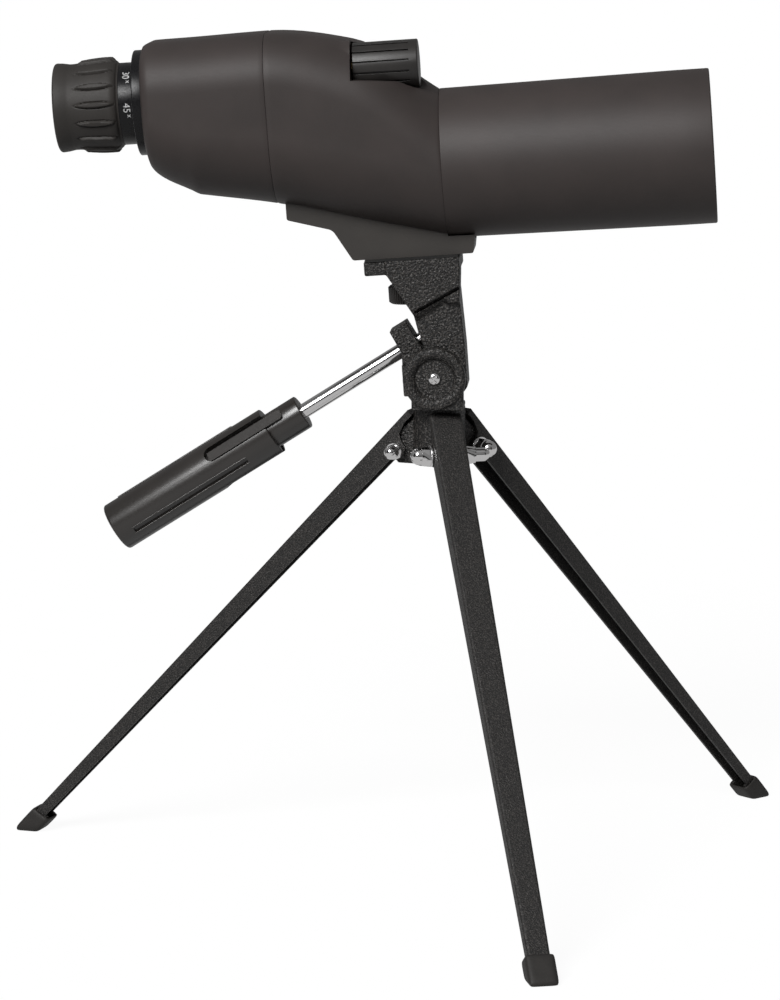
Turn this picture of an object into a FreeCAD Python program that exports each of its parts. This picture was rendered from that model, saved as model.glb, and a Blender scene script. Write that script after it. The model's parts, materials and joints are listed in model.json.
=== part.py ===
import FreeCAD, Part
import os
import re
import Sketcher

# Spotting scope on a small table tripod. Millimetres, +Z up.
# The floor is at Z = 0 and the origin is the middle of the footprint. The scope
# points along +X with its nose a little up; the focus knob is on its -Y side.

# Driving dimensions: every size that can be set by itself.
DIMENSIONS = {
    # tripod
    "column_x": 21.34, "column_y": 24.71, "hub_r": 10.5, "hub_low": 167.4, "hub_top": 191.2,
    "pivot_r": 16.0, "pivot_z": 173.1, "splay": 45.6, "stand_turn": -75.0,
    "lug_r": 5.6, "lug_wide": 9.6, "lug_top": 187.2,
    "leg_length": 240.0, "leg_tail": 14.6, "leg_wide": 13.0, "leg_wide_foot": 8.6, "leg_wall": 1.3,
    "leg_back": 8.1, "leg_back_foot": 1.6, "leg_lip": 2.2, "leg_lip_foot": 4.1,
    "leg_edge": 0.7, "leg_edge_foot": 2.7, "leg_round": 1.1,
    "boot_long": 10.5, "boot_wide": 11.8, "boot_round": 1.3, "boot_sole": 2.4,
    "bolt_r": 2.0, "bolt_gap": 0.05, "bolt_head_hex": 6.2, "bolt_head": 10.8, "dome_r": 3.1,
    "nut_hex": 3.7, "nut_r": 4.25, "nut_high": 8.0, "washer_r": 4.5, "washer_thick": 0.8, "leg_side_gap": 0.12,
    # pan joint and neck
    "pan_gap": 0.2, "spigot_r": 7.0, "spigot_long": 9.0, "running_gap": 0.05, "neck_floor": 193.2,
    "pan_bolt_r": 2.5, "pan_head_r": 4.3, "pan_head": 3.2, "pan_washer": 0.8, "pan_seat": 171.8,
    "tilt_x": -1.35, "tilt_z": 204.2, "cheek_in": 12.8, "cheek_out": 17.0, "cheek_r": 12.7,
    "recess_r": 8.0, "recess_deep": 1.2, "drum_r": 4.0, "screw_r": 1.6, "screw_head_r": 2.55, "screw_head": 1.7,
    "end_washer_r": 6.0, "end_washer": 0.9, "end_nut_r": 3.2, "end_nut": 2.6,
    # head casting
    "nose_up": 4.03, "plate_back": -25.2, "plate_front": 13.3, "plate_half": 16.0, "plate_thick": 5.6,
    "foot_plane": 49.3, "pad_thick": 0.8, "gusset_thick": 4.4, "block_half": 13.0, "block_low": 7.0,
    "block_near": 12.5, "block_far": 8.0, "rib_deep": 3.0,
    "step_left_x": -6.9, "step_left_z": 26.6, "step_right_z": 35.8, "notch_x": -3.5, "notch_z": 12.5,
    "clamp_angle": 28.35, "handle_up": 15.5, "ear_out": -6.2, "ear_in": 1.6, "ear_top": 25.0, "slit": 1.3,
    "ear_near": 8.0, "ear_far": 5.5, "ear_root": 10.0,
    # pan handle
    "thread_r": 2.5, "thread_end": 13.0, "clamp_gap": 0.25, "clamp_washer_r": 4.3, "clamp_washer": 0.7,
    "rod_r": 3.0, "grip_front": 54.3, "grip_step": 69.4, "grip_end": 145.4, "grip_core_r": 6.8, "grip_r": 10.2,
    "grip_slot_end": 97.6, "grip_slot_wide": 6.8, "grip_slot_turn": 54.0, "rod_deep": 40.0,
    # camera screw
    "stud_x": -6.2, "stud_r": 3.1, "stud_top": 54.0, "knob_r": 10.8, "knob_low": 29.9, "knob_high": 37.2,
    "knob_boss_r": 5.0, "stud_washer_r": 5.4, "stud_washer": 0.8, "knob_room": 0.6, "knob_travel": 2.0,
    # scope, measured back from the front rim along the objective axis
    "axis_above": 85.1, "rim_ahead": 117.2, "tube_rear_r": 30.0, "tube_front_r": 31.0, "tube_wall": 1.8,
    "tube_long": 108.0, "rim_straight": 14.0, "hood_deep": 20.0, "hood_r": 29.0,
    "cell_long": 18.0, "lens_r": 25.0, "cell_lip": 1.6, "crown_edge": 3.0, "crown_curve": 82.0,
    "flint_edge": 5.2, "flint_curve": 76.0, "ring_thick": 2.2, "ring_r": 26.6,
    "baffle_ahead": 20.0, "baffle_thick": 1.5, "baffle_hole": 19.0, "spigot_tube": 8.0,
    "shell_wall": 2.2, "shell_knee": 142.0, "seam_at": 175.6, "cover_mid": 206.5, "cover_turn": 221.8,
    "cover_edge": 224.6, "cover_end": 225.5,
    "foot_half": 12.0, "insert_r": 5.0, "insert_long": 8.0, "foot_screw_r": 1.5, "foot_screw_long": 8.0,
    "foot_screw_at": 162.0, "foot_screw_head": 2.8, "foot_screw_seat": 11.4, "foot_screw_side": 6.0,
    "foot_back": 172.2, "foot_heel": 154.1, "foot_knee": 146.7, "foot_front": 97.2, "foot_tube_gap": 0.8,
    # focus
    "focus_y": -12.0, "focus_up": 41.4, "focus_r": 9.7, "focus_rear": 140.8, "focus_front": 114.8,
    "focus_room": 0.7, "niche_wall": 1.9, "lead_r": 2.5, "lead_end": 178.0, "groove_turn": 25.7143,
    "ledge_rear": 4.3, "ledge_mid": 6.1, "ledge_front": 9.2, "ledge_mid_at": 124.0,
    # prisms
    "prism_plate_at": 180.0, "prism_plate": 2.0, "plate_side": 28.2,
    "prism_half": 16.0, "prism_wide": 12.6, "beam_r": 6.4,
    "carriage_at": 167.0, "carriage": 2.0, "guide_r": 1.5, "guide_front": 150.0, "seat_gap": 0.3,
    "press_gap": 0.05,
    # eyepiece
    "eye_offset": 32.2, "flange_r": 21.15, "flange_rear": 229.8, "flange_spigot": 15.2, "barrel_r": 13.0,
    "barrel_wall": 1.7, "barrel_front": 214.0, "barrel_rear": 256.0, "sleeve_r": 15.4, "sleeve_front": 234.2,
    "sleeve_rear": 254.0, "number_r": 16.5, "number_front": 227.9, "number_rear": 235.8,
    "grip_peak": 242.6, "grip_peak_r": 18.7, "grip_waist": 252.9, "grip_waist_r": 17.2, "cup_r": 18.0,
    "cup_rear": 262.3, "cup_mouth_r": 15.6, "cup_floor_r": 11.6, "eye_lens_thick": 4.0, "cell_r": 11.25,
    "cell_hole": 8.5, "zoom_cell": 6.0, "front_cell_at": 216.5, "rear_cell_at": 236.5, "lens_bulge": 26.0,
}
LEGS = {"a": 0, "b": 118.5, "c": 240}

doc = FreeCAD.newDocument("spotting_scope")
sheet = doc.addObject("Spreadsheet::Sheet", "dims")
for row, (alias, size) in enumerate(DIMENSIONS.items(), start=1):
    sheet.set(f"A{row}", alias)
    sheet.set(f"B{row}", str(size))
    sheet.setAlias(f"B{row}", alias)
doc.recompute()
subparts = []


def bound(text):
    """The expression with each dimension's name pointed at its cell."""
    return re.sub(r"[a-z][a-z_]*", lambda w: f"dims.{w[0]}" if w[0] in DIMENSIONS else w[0], str(text))


def value(text):
    """The number an expression gives now."""
    return float(sheet.evalExpression(bound(text)))


def shift(x=0, y=0, z=0, axis="0; 0; 1", angle=0):
    """Expression for a placement: a move, then a turn about an axis."""
    spot = f"vector({bound(x)}; {bound(y)}; {bound(z)})"
    return f"placement({spot}; rotation(vector({axis}); {bound(angle)}))"


def frame(name, *steps):
    """A named place that sub-parts are built in."""
    spot = doc.addObject("App::Placement", name)
    spot.setExpression("Placement", " * ".join(steps))
    doc.recompute()
    return f"{name}.Placement"


def subpart(thing, label, *steps):
    """Label a finished piece, put it in its place and list it for export."""
    thing.Label = label
    thing.setExpression("Placement", " * ".join(steps))
    subparts.append(thing)
    return thing


# ---- sketches and features -------------------------------------------------

def sketch_on(body, plane, offset="0"):
    drawing = body.newObject("Sketcher::SketchObject", f"{body.Name}_sketch")
    origin = next(f for f in body.Origin.OriginFeatures if f.Role == plane)
    drawing.AttachmentSupport = (origin, "")
    drawing.MapMode = "FlatFace"
    drawing.setExpression("AttachmentOffset", shift(z=offset))
    doc.recompute()
    return drawing


def end_at(drawing, index, spot):
    """Which end of an edge lies at a point: 1 for its start, 2 for its end."""
    edge = drawing.Geometry[index]
    return 1 if edge.StartPoint.distanceToPoint(spot) < edge.EndPoint.distanceToPoint(spot) else 2


def arc_between(start, end, radius):
    """Arc of a radius from start to end; a negative radius bulges to the right."""
    chord = end - start
    half = chord.Length / 2
    side = 1 if radius > 0 else -1
    reach = (radius * radius - half * half) ** 0.5
    across = FreeCAD.Vector(-chord.y, chord.x, 0).normalize()
    centre = (start + end) / 2 - across * side * reach
    middle = centre + across * side * abs(radius)
    return Part.Arc(end, middle, start) if radius > 0 else Part.Arc(start, middle, end)


def pin_point(drawing, index, end, x, y):
    """Dimension a point from the sketch's origin, or hold it on an axis where it is 0."""
    for kind, text, axis in (("DistanceX", x, -2), ("DistanceY", y, -1)):
        if str(text) == "0":
            drawing.addConstraint(Sketcher.Constraint("PointOnObject", index, end, axis))
            continue
        known = drawing.addConstraint(Sketcher.Constraint(kind, -1, 1, index, end, value(text)))
        drawing.setExpression(f"Constraints[{known}]", bound(text))


def outline(drawing, corners):
    """Closed outline. A corner with a third value starts an arc of that radius."""
    spots = [FreeCAD.Vector(value(c[0]), value(c[1]), 0) for c in corners]
    first = drawing.GeometryCount
    for i, corner in enumerate(corners):
        start, end = spots[i], spots[(i + 1) % len(spots)]
        if len(corner) == 3:
            edge = arc_between(start, end, value(corner[2]))
        else:
            edge = Part.LineSegment(start, end)
        drawing.addGeometry(edge, False)
    for i, corner in enumerate(corners):
        before = first + (i - 1) % len(corners)
        here = end_at(drawing, first + i, spots[i])
        drawing.addConstraint(Sketcher.Constraint(
            "Coincident", before, end_at(drawing, before, spots[i]), first + i, here))
        pin_point(drawing, first + i, here, corner[0], corner[1])
        if len(corner) == 3:
            known = drawing.addConstraint(Sketcher.Constraint("Radius", first + i, abs(value(corner[2]))))
            drawing.setExpression(f"Constraints[{known}]", f"abs({bound(corner[2])})")


def circle(drawing, x, y, radius):
    index = drawing.addGeometry(Part.Circle(FreeCAD.Vector(value(x), value(y), 0), FreeCAD.Vector(0, 0, 1),
                                            value(radius)), False)
    pin_point(drawing, index, 3, x, y)
    known = drawing.addConstraint(Sketcher.Constraint("Radius", index, value(radius)))
    drawing.setExpression(f"Constraints[{known}]", bound(radius))


def new_body(name):
    return doc.addObject("PartDesign::Body", name)


def turned(name, corners, axis="H_Axis"):
    """Body turned from a half outline about X (H_Axis) or Z (V_Axis)."""
    body = new_body(name)
    drawing = sketch_on(body, "XZ_Plane")
    outline(drawing, corners)
    turn = body.newObject("PartDesign::Revolution", f"{name}_turn")
    turn.Profile = drawing
    turn.ReferenceAxis = (drawing, [axis])
    turn.Angle = 360
    doc.recompute()
    return body


def slab(body, corners, low, high, plane="XZ_Plane", holes=()):
    """Pad an outline between two heights along Y (XZ plane), X (YZ plane) or Z (XY plane)."""
    start = f"-({high})" if plane == "XZ_Plane" else low
    drawing = sketch_on(body, plane, start)
    outline(drawing, corners)
    for hole in holes:
        circle(drawing, *hole)
    pad = body.newObject("PartDesign::Pad", f"{body.Name}_pad")
    pad.Profile = drawing
    pad.setExpression("Length", bound(f"({high}) - ({low})"))
    doc.recompute()
    return body


def box_outline(left, right, low, high):
    return [(left, low), (right, low), (right, high), (left, high)]


def cylinder(name, radius, height, *steps):
    rod = doc.addObject("Part::Cylinder", name)
    rod.setExpression("Radius", bound(radius))
    rod.setExpression("Height", bound(height))
    rod.setExpression("Placement", " * ".join(steps) or shift())
    return rod


def rod_x(name, radius, start, length, y=0, z=0):
    """Cylinder along +X."""
    return cylinder(name, radius, length, shift(start, y, z, "0; 1; 0", 90))


def rod_y(name, radius, start, length, x=0, z=0):
    """Cylinder along +Y."""
    return cylinder(name, radius, length, shift(x, start, z, "1; 0; 0", -90))


def hexagon(name, radius, height, *steps):
    nut = doc.addObject("Part::Prism", name)
    nut.Polygon = 6
    nut.setExpression("Circumradius", bound(radius))
    nut.setExpression("Height", bound(height))
    nut.setExpression("Placement", " * ".join(steps) or shift())
    return nut


def fused(name, *shapes):
    joined = doc.addObject("Part::MultiFuse", name)
    joined.Shapes = list(shapes)
    joined.Refine = True
    return joined


def cut(name, base, *tools):
    result = doc.addObject("Part::Cut", name)
    result.Base = base
    result.Tool = tools[0] if len(tools) == 1 else fused(f"{name}_tools", *tools)
    doc.recompute()
    return result


def common(name, first, second):
    result = doc.addObject("Part::Common", name)
    result.Base = first
    result.Tool = second
    doc.recompute()
    return result


def group(name, *shapes):
    """Identical pieces in one node, each still a solid of its own."""
    several = doc.addObject("Part::Compound", name)
    several.Links = list(shapes)
    doc.recompute()
    return several


def rounded(body, radius, chosen):
    """Fillet the edges of the body's tip that a test picks."""
    base = body.Tip
    names = [f"Edge{i}" for i, edge in enumerate(base.Shape.Edges, start=1) if chosen(edge.BoundBox)]
    fillet = body.newObject("PartDesign::Fillet", f"{body.Name}_round")
    fillet.Base = (base, names)
    fillet.setExpression("Radius", bound(radius))
    doc.recompute()
    return body


# ---- frames ----------------------------------------------------------------

stand = frame("stand_frame", shift("column_x", "column_y"))
head = frame("head_frame", stand, shift("tilt_x", 0, "tilt_z", "0; 1; 0", "-nose_up"))
clamp = frame("clamp_frame", head, shift(0, 0, 0, "0; 1; 0", "-clamp_angle"), shift(0, 0, "handle_up"))
scope = frame("scope_frame", head, shift("rim_ahead", 0, "axis_above"))
eye = frame("eye_frame", scope, shift(0, 0, "eye_offset"))
focus = frame("focus_frame", scope, shift(0, "focus_y", "focus_up"))


# ---- tripod ----------------------------------------------------------------

def hub_casting():
    """Column with three radial lugs, bored for the neck's spigot and the pan bolt."""
    column = turned("hub_column", [
        ("pan_bolt_r + pan_gap", "pan_seat"), ("pan_head_r + 2 * pan_gap", "pan_seat"),
        ("pan_head_r + 2 * pan_gap", "hub_low"), ("hub_r", "hub_low"), ("hub_r", "hub_top"),
        ("spigot_r + running_gap", "hub_top"), ("spigot_r + running_gap", "hub_top - spigot_long - pan_gap"),
        ("pan_bolt_r + pan_gap", "hub_top - spigot_long - pan_gap")], "V_Axis")
    lug_root = "spigot_r + running_gap + 1.2"
    lugs = []
    for leg, turn in LEGS.items():
        lug = new_body(f"lug_{leg}")
        slab(lug, [
            (lug_root, "hub_low"), ("pivot_r", "pivot_z - lug_r"),
            ("pivot_r + lug_r", "pivot_z"), ("pivot_r + lug_r * sin(splay)", "pivot_z + lug_r * cos(splay)"),
            (lug_root, "lug_top")], "-lug_wide / 2", "lug_wide / 2")
        hole = rod_y(f"lug_hole_{leg}", "bolt_r", "-lug_wide", "2 * lug_wide", "pivot_r", "pivot_z")
        bored = cut(f"lug_bored_{leg}", lug, hole)
        bored.setExpression("Placement", shift(axis="0; 0; 1", angle=f"stand_turn + {turn}"))
        lugs.append(bored)
    subpart(fused("hub", column, *lugs), "hub_casting", stand)


def leg_frame(leg, turn):
    return frame(f"leg_frame_{leg}", stand, shift(angle=f"stand_turn + {turn}"),
                 shift("pivot_r", 0, "pivot_z", "0; 1; 0", "splay"))


def channel_section(body, at, wide, back, lip):
    """One end of the tapered channel: web outwards, open side towards the column."""
    drawing = sketch_on(body, "YZ_Plane", at)
    side, inside = f"({wide}) / 2", f"({wide}) / 2 - leg_wall"
    bend = f"({back}) - leg_round"
    outline(drawing, [
        (f"-{side}", f"-({lip})"), (f"-{side}", bend, "leg_round"), (f"leg_round - {side}", back),
        (f"{side} - leg_round", back, "leg_round"), (side, bend), (side, f"-({lip})"),
        (inside, f"-({lip})"), (inside, f"({back}) - leg_wall"),
        (f"-({inside})", f"({back}) - leg_wall"), (f"-({inside})", f"-({lip})")])
    return drawing


def tapered(size, at):
    """A channel size part-way along, between its value at the pivot and at the foot."""
    return f"{size} + ({size}_foot - {size}) * ({at}) / leg_length"


def floor_at(level):
    """Distance down the leg at which the floor crosses a height above the leg's axis."""
    return f"((pivot_z + ({level}) * cos(splay)) / sin(splay))"


def leg_channel(leg, place):
    """Pressed steel channel, cut away behind the pivot so that it folds past the hub."""
    body = new_body(f"channel_{leg}")
    ends = [channel_section(body, at, tapered("leg_wide", at), tapered("leg_back", at), tapered("leg_lip", at))
            for at in ("-leg_tail", "leg_length")]
    loft = body.newObject("PartDesign::AdditiveLoft", f"channel_loft_{leg}")
    loft.Profile = ends[0]
    loft.Sections = [ends[1]]
    loft.Ruled = True
    doc.recompute()
    away = new_body(f"channel_away_{leg}")
    slab(away, [
        ("-leg_tail - 5", "leg_back - 2.4"), ("-10", "leg_back - 2.5"), ("-5.3", "leg_back - 4.1"),
        ("-3.9", "leg_back - 6.4"), ("-3.4", "-0.6"), ("-2.2", "-leg_lip - 1"), ("-leg_tail - 5", "-leg_lip - 1")],
        "-leg_wide", "leg_wide")
    tip = new_body(f"channel_tip_{leg}")
    end = "boot_sole + press_gap"
    slab(tip, [(f"{floor_at('-9')} - {end}", "-9"), ("leg_length + 9", "-9"), ("leg_length + 9", "9"),
               (f"{floor_at('9')} - {end}", "9")], "-leg_wide", "leg_wide")
    edge = new_body(f"channel_edge_{leg}")
    slab(edge, [("3.6", "-leg_lip - 1"), ("5", "-leg_edge"), ("leg_length - boot_long - 0.3", "-leg_edge_foot"),
                ("leg_length - boot_long - 0.3", "-leg_lip_foot - 1")], "-leg_wide", "leg_wide")
    hole = rod_y(f"channel_hole_{leg}", "bolt_r + bolt_gap", "-leg_wide", "2 * leg_wide")
    subpart(cut(f"channel_cut_{leg}", body, away, edge, tip, hole), f"leg_channel_{leg}", place)


def rubber_foot(leg, place):
    """Boot moulded over the channel's end, with its sole flat on the floor."""
    body = new_body(f"boot_{leg}")
    low = "-leg_lip_foot - 1.4"
    high = "leg_back_foot + 1.5"
    slab(body, [("leg_length - boot_long - 0.8", low),
                (floor_at(low), low), (floor_at("leg_back_foot"), "leg_back_foot"),
                (f"{floor_at('leg_back_foot')} - 1.2", high),
                ("leg_length - boot_long + 0.8", f"({high}) + 0.3")],
         "-boot_wide / 2", "boot_wide / 2")
    rounded(body, "boot_round", lambda b: b.YLength < 0.01 and b.XLength > 5 and b.ZLength < 2)
    socket = new_body(f"boot_socket_{leg}")
    at = "leg_length"
    slab(socket, [("leg_length - boot_long - 5", f"-({tapered('leg_lip', 'leg_length - boot_long - 5')})"),
                  (at, f"-({tapered('leg_lip', at)})"), (at, tapered("leg_back", at)),
                  ("leg_length - boot_long - 5", tapered("leg_back", "leg_length - boot_long - 5"))],
         "-leg_wide_foot / 2 - 0.15", "leg_wide_foot / 2 + 0.15")
    floor_cut = new_body(f"boot_floor_{leg}")
    slab(floor_cut, [("leg_length - 12", f"-({tapered('leg_lip', 'leg_length - 12')}) - 9"),
                     (f"{floor_at('-9')} - boot_sole", "-9"), (f"{floor_at('3')} - boot_sole", "3"),
                     ("leg_length - 12", "3")], "-boot_wide", "boot_wide")
    hollow = common(f"boot_hollow_{leg}", socket, floor_cut)
    subpart(cut(f"boot_cut_{leg}", body, hollow), f"rubber_foot_{leg}", place)


def leg_bolt(leg, place):
    """Chromed bolt with a tall domed hexagon head."""
    half = "leg_wide / 2 + leg_side_gap"
    shank = rod_y(f"bolt_shank_{leg}", "bolt_r", f"-({half}) - washer_thick - nut_high + 3.4",
                  f"2 * ({half}) + washer_thick + nut_high - 3.4")
    flats = hexagon(f"bolt_hex_{leg}", "nut_r - 0.25", "bolt_head_hex", shift(0, half, 0, "1; 0; 0", -90))
    barrel = rod_y(f"bolt_barrel_{leg}", "dome_r", half, "bolt_head - dome_r")
    dome = doc.addObject("Part::Sphere", f"bolt_dome_{leg}")
    dome.setExpression("Radius", bound("dome_r"))
    dome.setExpression("Placement", shift(0, f"{half} + bolt_head - dome_r"))
    whole = fused(f"bolt_{leg}", shank, flats, barrel, dome)
    whole.setExpression("Placement", place)
    return whole


def acorn_nut(leg, place):
    """Closed nut: a hexagon under a dome, blind-bored for the bolt."""
    start = "-leg_wide / 2 - leg_side_gap - washer_thick"
    flats = hexagon(f"nut_hex_{leg}", "nut_r", "nut_hex", shift(0, start, 0, "1; 0; 0", 90))
    dome = doc.addObject("Part::Sphere", f"nut_dome_{leg}")
    dome.setExpression("Radius", bound("nut_high - nut_hex - 0.8"))
    dome.setExpression("Placement", shift(0, f"{start} - nut_hex - 0.8"))
    collar = rod_y(f"nut_collar_{leg}", "nut_high - nut_hex - 0.8", f"{start} - nut_hex - 0.8", "nut_hex")
    bore = rod_y(f"nut_bore_{leg}", "bolt_r", f"{start} - nut_high + 3.4", "nut_high")
    nut = cut(f"nut_{leg}", fused(f"nut_solid_{leg}", flats, dome, collar), bore)
    nut.setExpression("Placement", place)
    return nut


def leg_washer(leg, place):
    start = "-leg_wide / 2 - leg_side_gap - washer_thick"
    disc = rod_y(f"washer_disc_{leg}", "washer_r", start, "washer_thick")
    hole = rod_y(f"washer_hole_{leg}", "bolt_r + bolt_gap", f"{start} - 1", "washer_thick + 2")
    washer = cut(f"washer_{leg}", disc, hole)
    washer.setExpression("Placement", place)
    return washer


def tripod():
    hub_casting()
    places = {leg: leg_frame(leg, turn) for leg, turn in LEGS.items()}
    for leg, place in places.items():
        leg_channel(leg, place)
        rubber_foot(leg, place)
    subpart(group("bolts", *[leg_bolt(*leg) for leg in places.items()]), "leg_bolts", shift())
    subpart(group("nuts", *[acorn_nut(*leg) for leg in places.items()]), "acorn_nuts", shift())
    subpart(group("washers", *[leg_washer(*leg) for leg in places.items()]), "leg_washers", shift())


# ---- neck ------------------------------------------------------------------

def neck_casting():
    """Turntable with a spigot below and one round cheek that carries the tilt drum."""
    under = "hub_top + pan_gap"
    base = turned("neck_base", [
        ("pan_bolt_r", "hub_top - spigot_long"), ("spigot_r", "hub_top - spigot_long"), ("spigot_r", under),
        ("hub_r", under), ("hub_r", "neck_floor"), ("pan_bolt_r", "neck_floor")], "V_Axis")
    cheek = new_body("neck_cheek")
    slab(cheek, box_outline("-hub_r", "hub_r", under, "tilt_z"), "-cheek_out", "-cheek_in")
    apron = new_body("neck_apron")
    slab(apron, box_outline("-hub_r", "hub_r", under, "neck_floor"), "-cheek_out", "-2")
    disc = rod_y("neck_disc", "cheek_r", "-cheek_out", "cheek_out - cheek_in", "tilt_x", "tilt_z")
    drum = rod_y("neck_drum", "drum_r", "-cheek_out", "cheek_out + block_far + pan_gap", "tilt_x", "tilt_z")
    whole = fused("neck_whole", base, cheek, apron, disc, drum)
    recess = rod_y("neck_recess", "recess_r", "-cheek_out - 1", "recess_deep + 1", "tilt_x", "tilt_z")
    bore = rod_y("neck_bore", "screw_r", "-cheek_out - 1", "60", "tilt_x", "tilt_z")
    spin = cylinder("neck_pan_bore", "pan_bolt_r", "30", shift(0, 0, "hub_top - spigot_long - 1"))
    subpart(cut("neck", whole, recess, bore, spin), "neck_casting", stand)


def pan_fasteners():
    """Bolt that holds the neck down, with a spring washer under its head."""
    subpart(turned("pan_bolt", [
        (0, "pan_seat - pan_washer - pan_head"), ("pan_head_r", "pan_seat - pan_washer - pan_head"),
        ("pan_head_r", "pan_seat - pan_washer"), ("pan_bolt_r", "pan_seat - pan_washer"),
        ("pan_bolt_r", "neck_floor - 0.3"), (0, "neck_floor - 0.3")], "V_Axis"), "pan_bolt", stand)
    subpart(turned("pan_washer_ring", [
        ("pan_bolt_r", "pan_seat - pan_washer"), ("pan_head_r", "pan_seat - pan_washer"),
        ("pan_head_r", "pan_seat - 0.05"), ("pan_bolt_r", "pan_seat - 0.05")], "V_Axis"), "pan_washer", stand)


def tilt_fasteners():
    """Cross-head screw through the drum, with a washer and nut on the far side."""
    place = shift("tilt_x", 0, "tilt_z")
    floor = "-cheek_out + recess_deep"
    washer_at = "block_far + pan_gap"
    shank = rod_y("tilt_shank", "screw_r", floor, f"{washer_at} + end_washer + end_nut + 0.8 - ({floor})")
    button = rod_y("tilt_button", "screw_head_r", f"{floor} - screw_head", "screw_head")
    slots = []
    for i, turn in enumerate((0, 90)):
        bar = doc.addObject("Part::Box", f"tilt_cross_{i}")
        bar.setExpression("Length", bound("screw_head_r * 1.3"))
        bar.setExpression("Width", bound("screw_head * 0.6"))
        bar.setExpression("Height", "0.7")
        centred = shift("-screw_head_r * 0.65", f"{floor} - screw_head - 0.01", "-0.35")
        bar.setExpression("Placement", f"{shift(axis='0; 1; 0', angle=turn)} * {centred}")
        slots.append(bar)
    screw = cut("tilt_screw_cut", fused("tilt_screw_solid", shank, button), *slots)
    subpart(screw, "tilt_screw", stand, place)
    disc = rod_y("tilt_washer_disc", "end_washer_r", washer_at, "end_washer")
    hole = rod_y("tilt_washer_hole", "screw_r", f"{washer_at} - 1", "end_washer + 2")
    subpart(cut("tilt_washer_cut", disc, hole), "tilt_washer", stand, place)
    nut = hexagon("tilt_nut_hex", "end_nut_r", "end_nut",
                  shift(0, f"{washer_at} + end_washer", 0, "1; 0; 0", -90))
    thread = rod_y("tilt_nut_hole", "screw_r", washer_at, "end_nut + 3")
    subpart(cut("tilt_nut_cut", nut, thread), "tilt_nut", stand, place)


# ---- head ------------------------------------------------------------------

def along(distance, height):
    """Head-frame X and Z of a point given along the handle's axis and square to it."""
    return (f"({distance}) * cos(clamp_angle) - ({height}) * sin(clamp_angle)",
            f"({distance}) * sin(clamp_angle) + ({height}) * cos(clamp_angle)")


def head_casting():
    """Platform on a wedge that ends in a split clamp round the tilt drum."""
    under = "foot_plane - pad_thick - plate_thick"
    platform = new_body("head_platform")
    slab(platform, box_outline("plate_back", "plate_front", under, "foot_plane - pad_thick"),
         "-plate_half", "plate_half")
    gusset = new_body("head_gusset")
    slab(gusset, [("plate_back + 8.8", under), ("step_left_x", "step_left_z"),
                  ("plate_front - 1.2", "step_right_z"), ("plate_front", under)], "-plate_half", "-plate_half + gusset_thick")
    rib = new_body("head_rib")
    slab(rib, [("stud_x + knob_r + 2.4", under), ("stud_x + knob_r + 2.4", "30"), ("plate_front - 1.1", "30"),
               ("plate_front", under)], "-plate_half + 1", "-rib_deep")
    block = new_body("head_block")
    slab(block, [
        ("plate_front - 1.2", "step_right_z"), ("block_half", "12"), ("block_half", "2.5 - block_low"),
        ("block_half - 2", "-block_low"), ("-block_half", "-block_low"), ("-block_half", "10"),
        along("ear_out", "ear_top"), along("ear_in", "ear_top"), along("ear_in", "2"),
        along("ear_in + slit", "2"), ("notch_x", "notch_z"), ("notch_x - 1.8", "notch_z + 5.9"), ("step_left_x", "step_left_z")],
        "-block_near", "block_far")
    sides = []
    for name, low, high in (("near", "-block_near - 1", "-ear_near"), ("far", "ear_far", "block_far + 1")):
        side = new_body(f"head_ear_{name}")
        slab(side, [along("ear_out - 2", "ear_root"), along("ear_in + slit / 2", "ear_root"),
                    along("ear_in + slit / 2", "ear_top + 1"), along("ear_out - 2", "ear_top + 1")], low, high)
        sides.append(side)
    whole = fused("head_whole", platform, gusset, rib, block)
    bore = rod_y("head_bore", "drum_r + running_gap", "-plate_half - 1", "2 * plate_half + 2")
    handle_hole = cylinder("head_handle_hole", "thread_r + clamp_gap", "thread_end + 1 - ear_out + 2",
                           shift(axis="0; 1; 0", angle="-clamp_angle"),
                           shift("ear_out - 2", 0, "handle_up", "0; 1; 0", 90))
    spot_face = cylinder("head_spot_face", "clamp_washer_r + 0.5", "5",
                         shift(axis="0; 1; 0", angle="-clamp_angle"),
                         shift("ear_out - 5", 0, "handle_up", "0; 1; 0", 90))
    stud_hole = cylinder("head_stud_hole", "stud_r + 0.3", "20", shift("stud_x", 0, "foot_plane - 12"))
    knob_room = cylinder("head_knob_room", "knob_r + knob_room",
                         f"({under}) - knob_low + knob_travel + knob_room",
                         shift("stud_x", 0, "knob_low - knob_travel - knob_room"))
    holes = (bore, handle_hole, spot_face, stud_hole, knob_room)
    subpart(cut("head", whole, *holes, *sides), "head_casting", head)


def platform_pad():
    """Thin non-slip sheet between the platform and the scope's foot."""
    body = new_body("pad_sheet")
    slab(body, box_outline("plate_back + 0.5", "plate_front - 0.5", "-plate_half + 0.5", "plate_half - 0.5"),
         "foot_plane - pad_thick", "foot_plane", "XY_Plane", [("stud_x", "0", "stud_r + 0.3")])
    subpart(body, "platform_pad", head)


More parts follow.
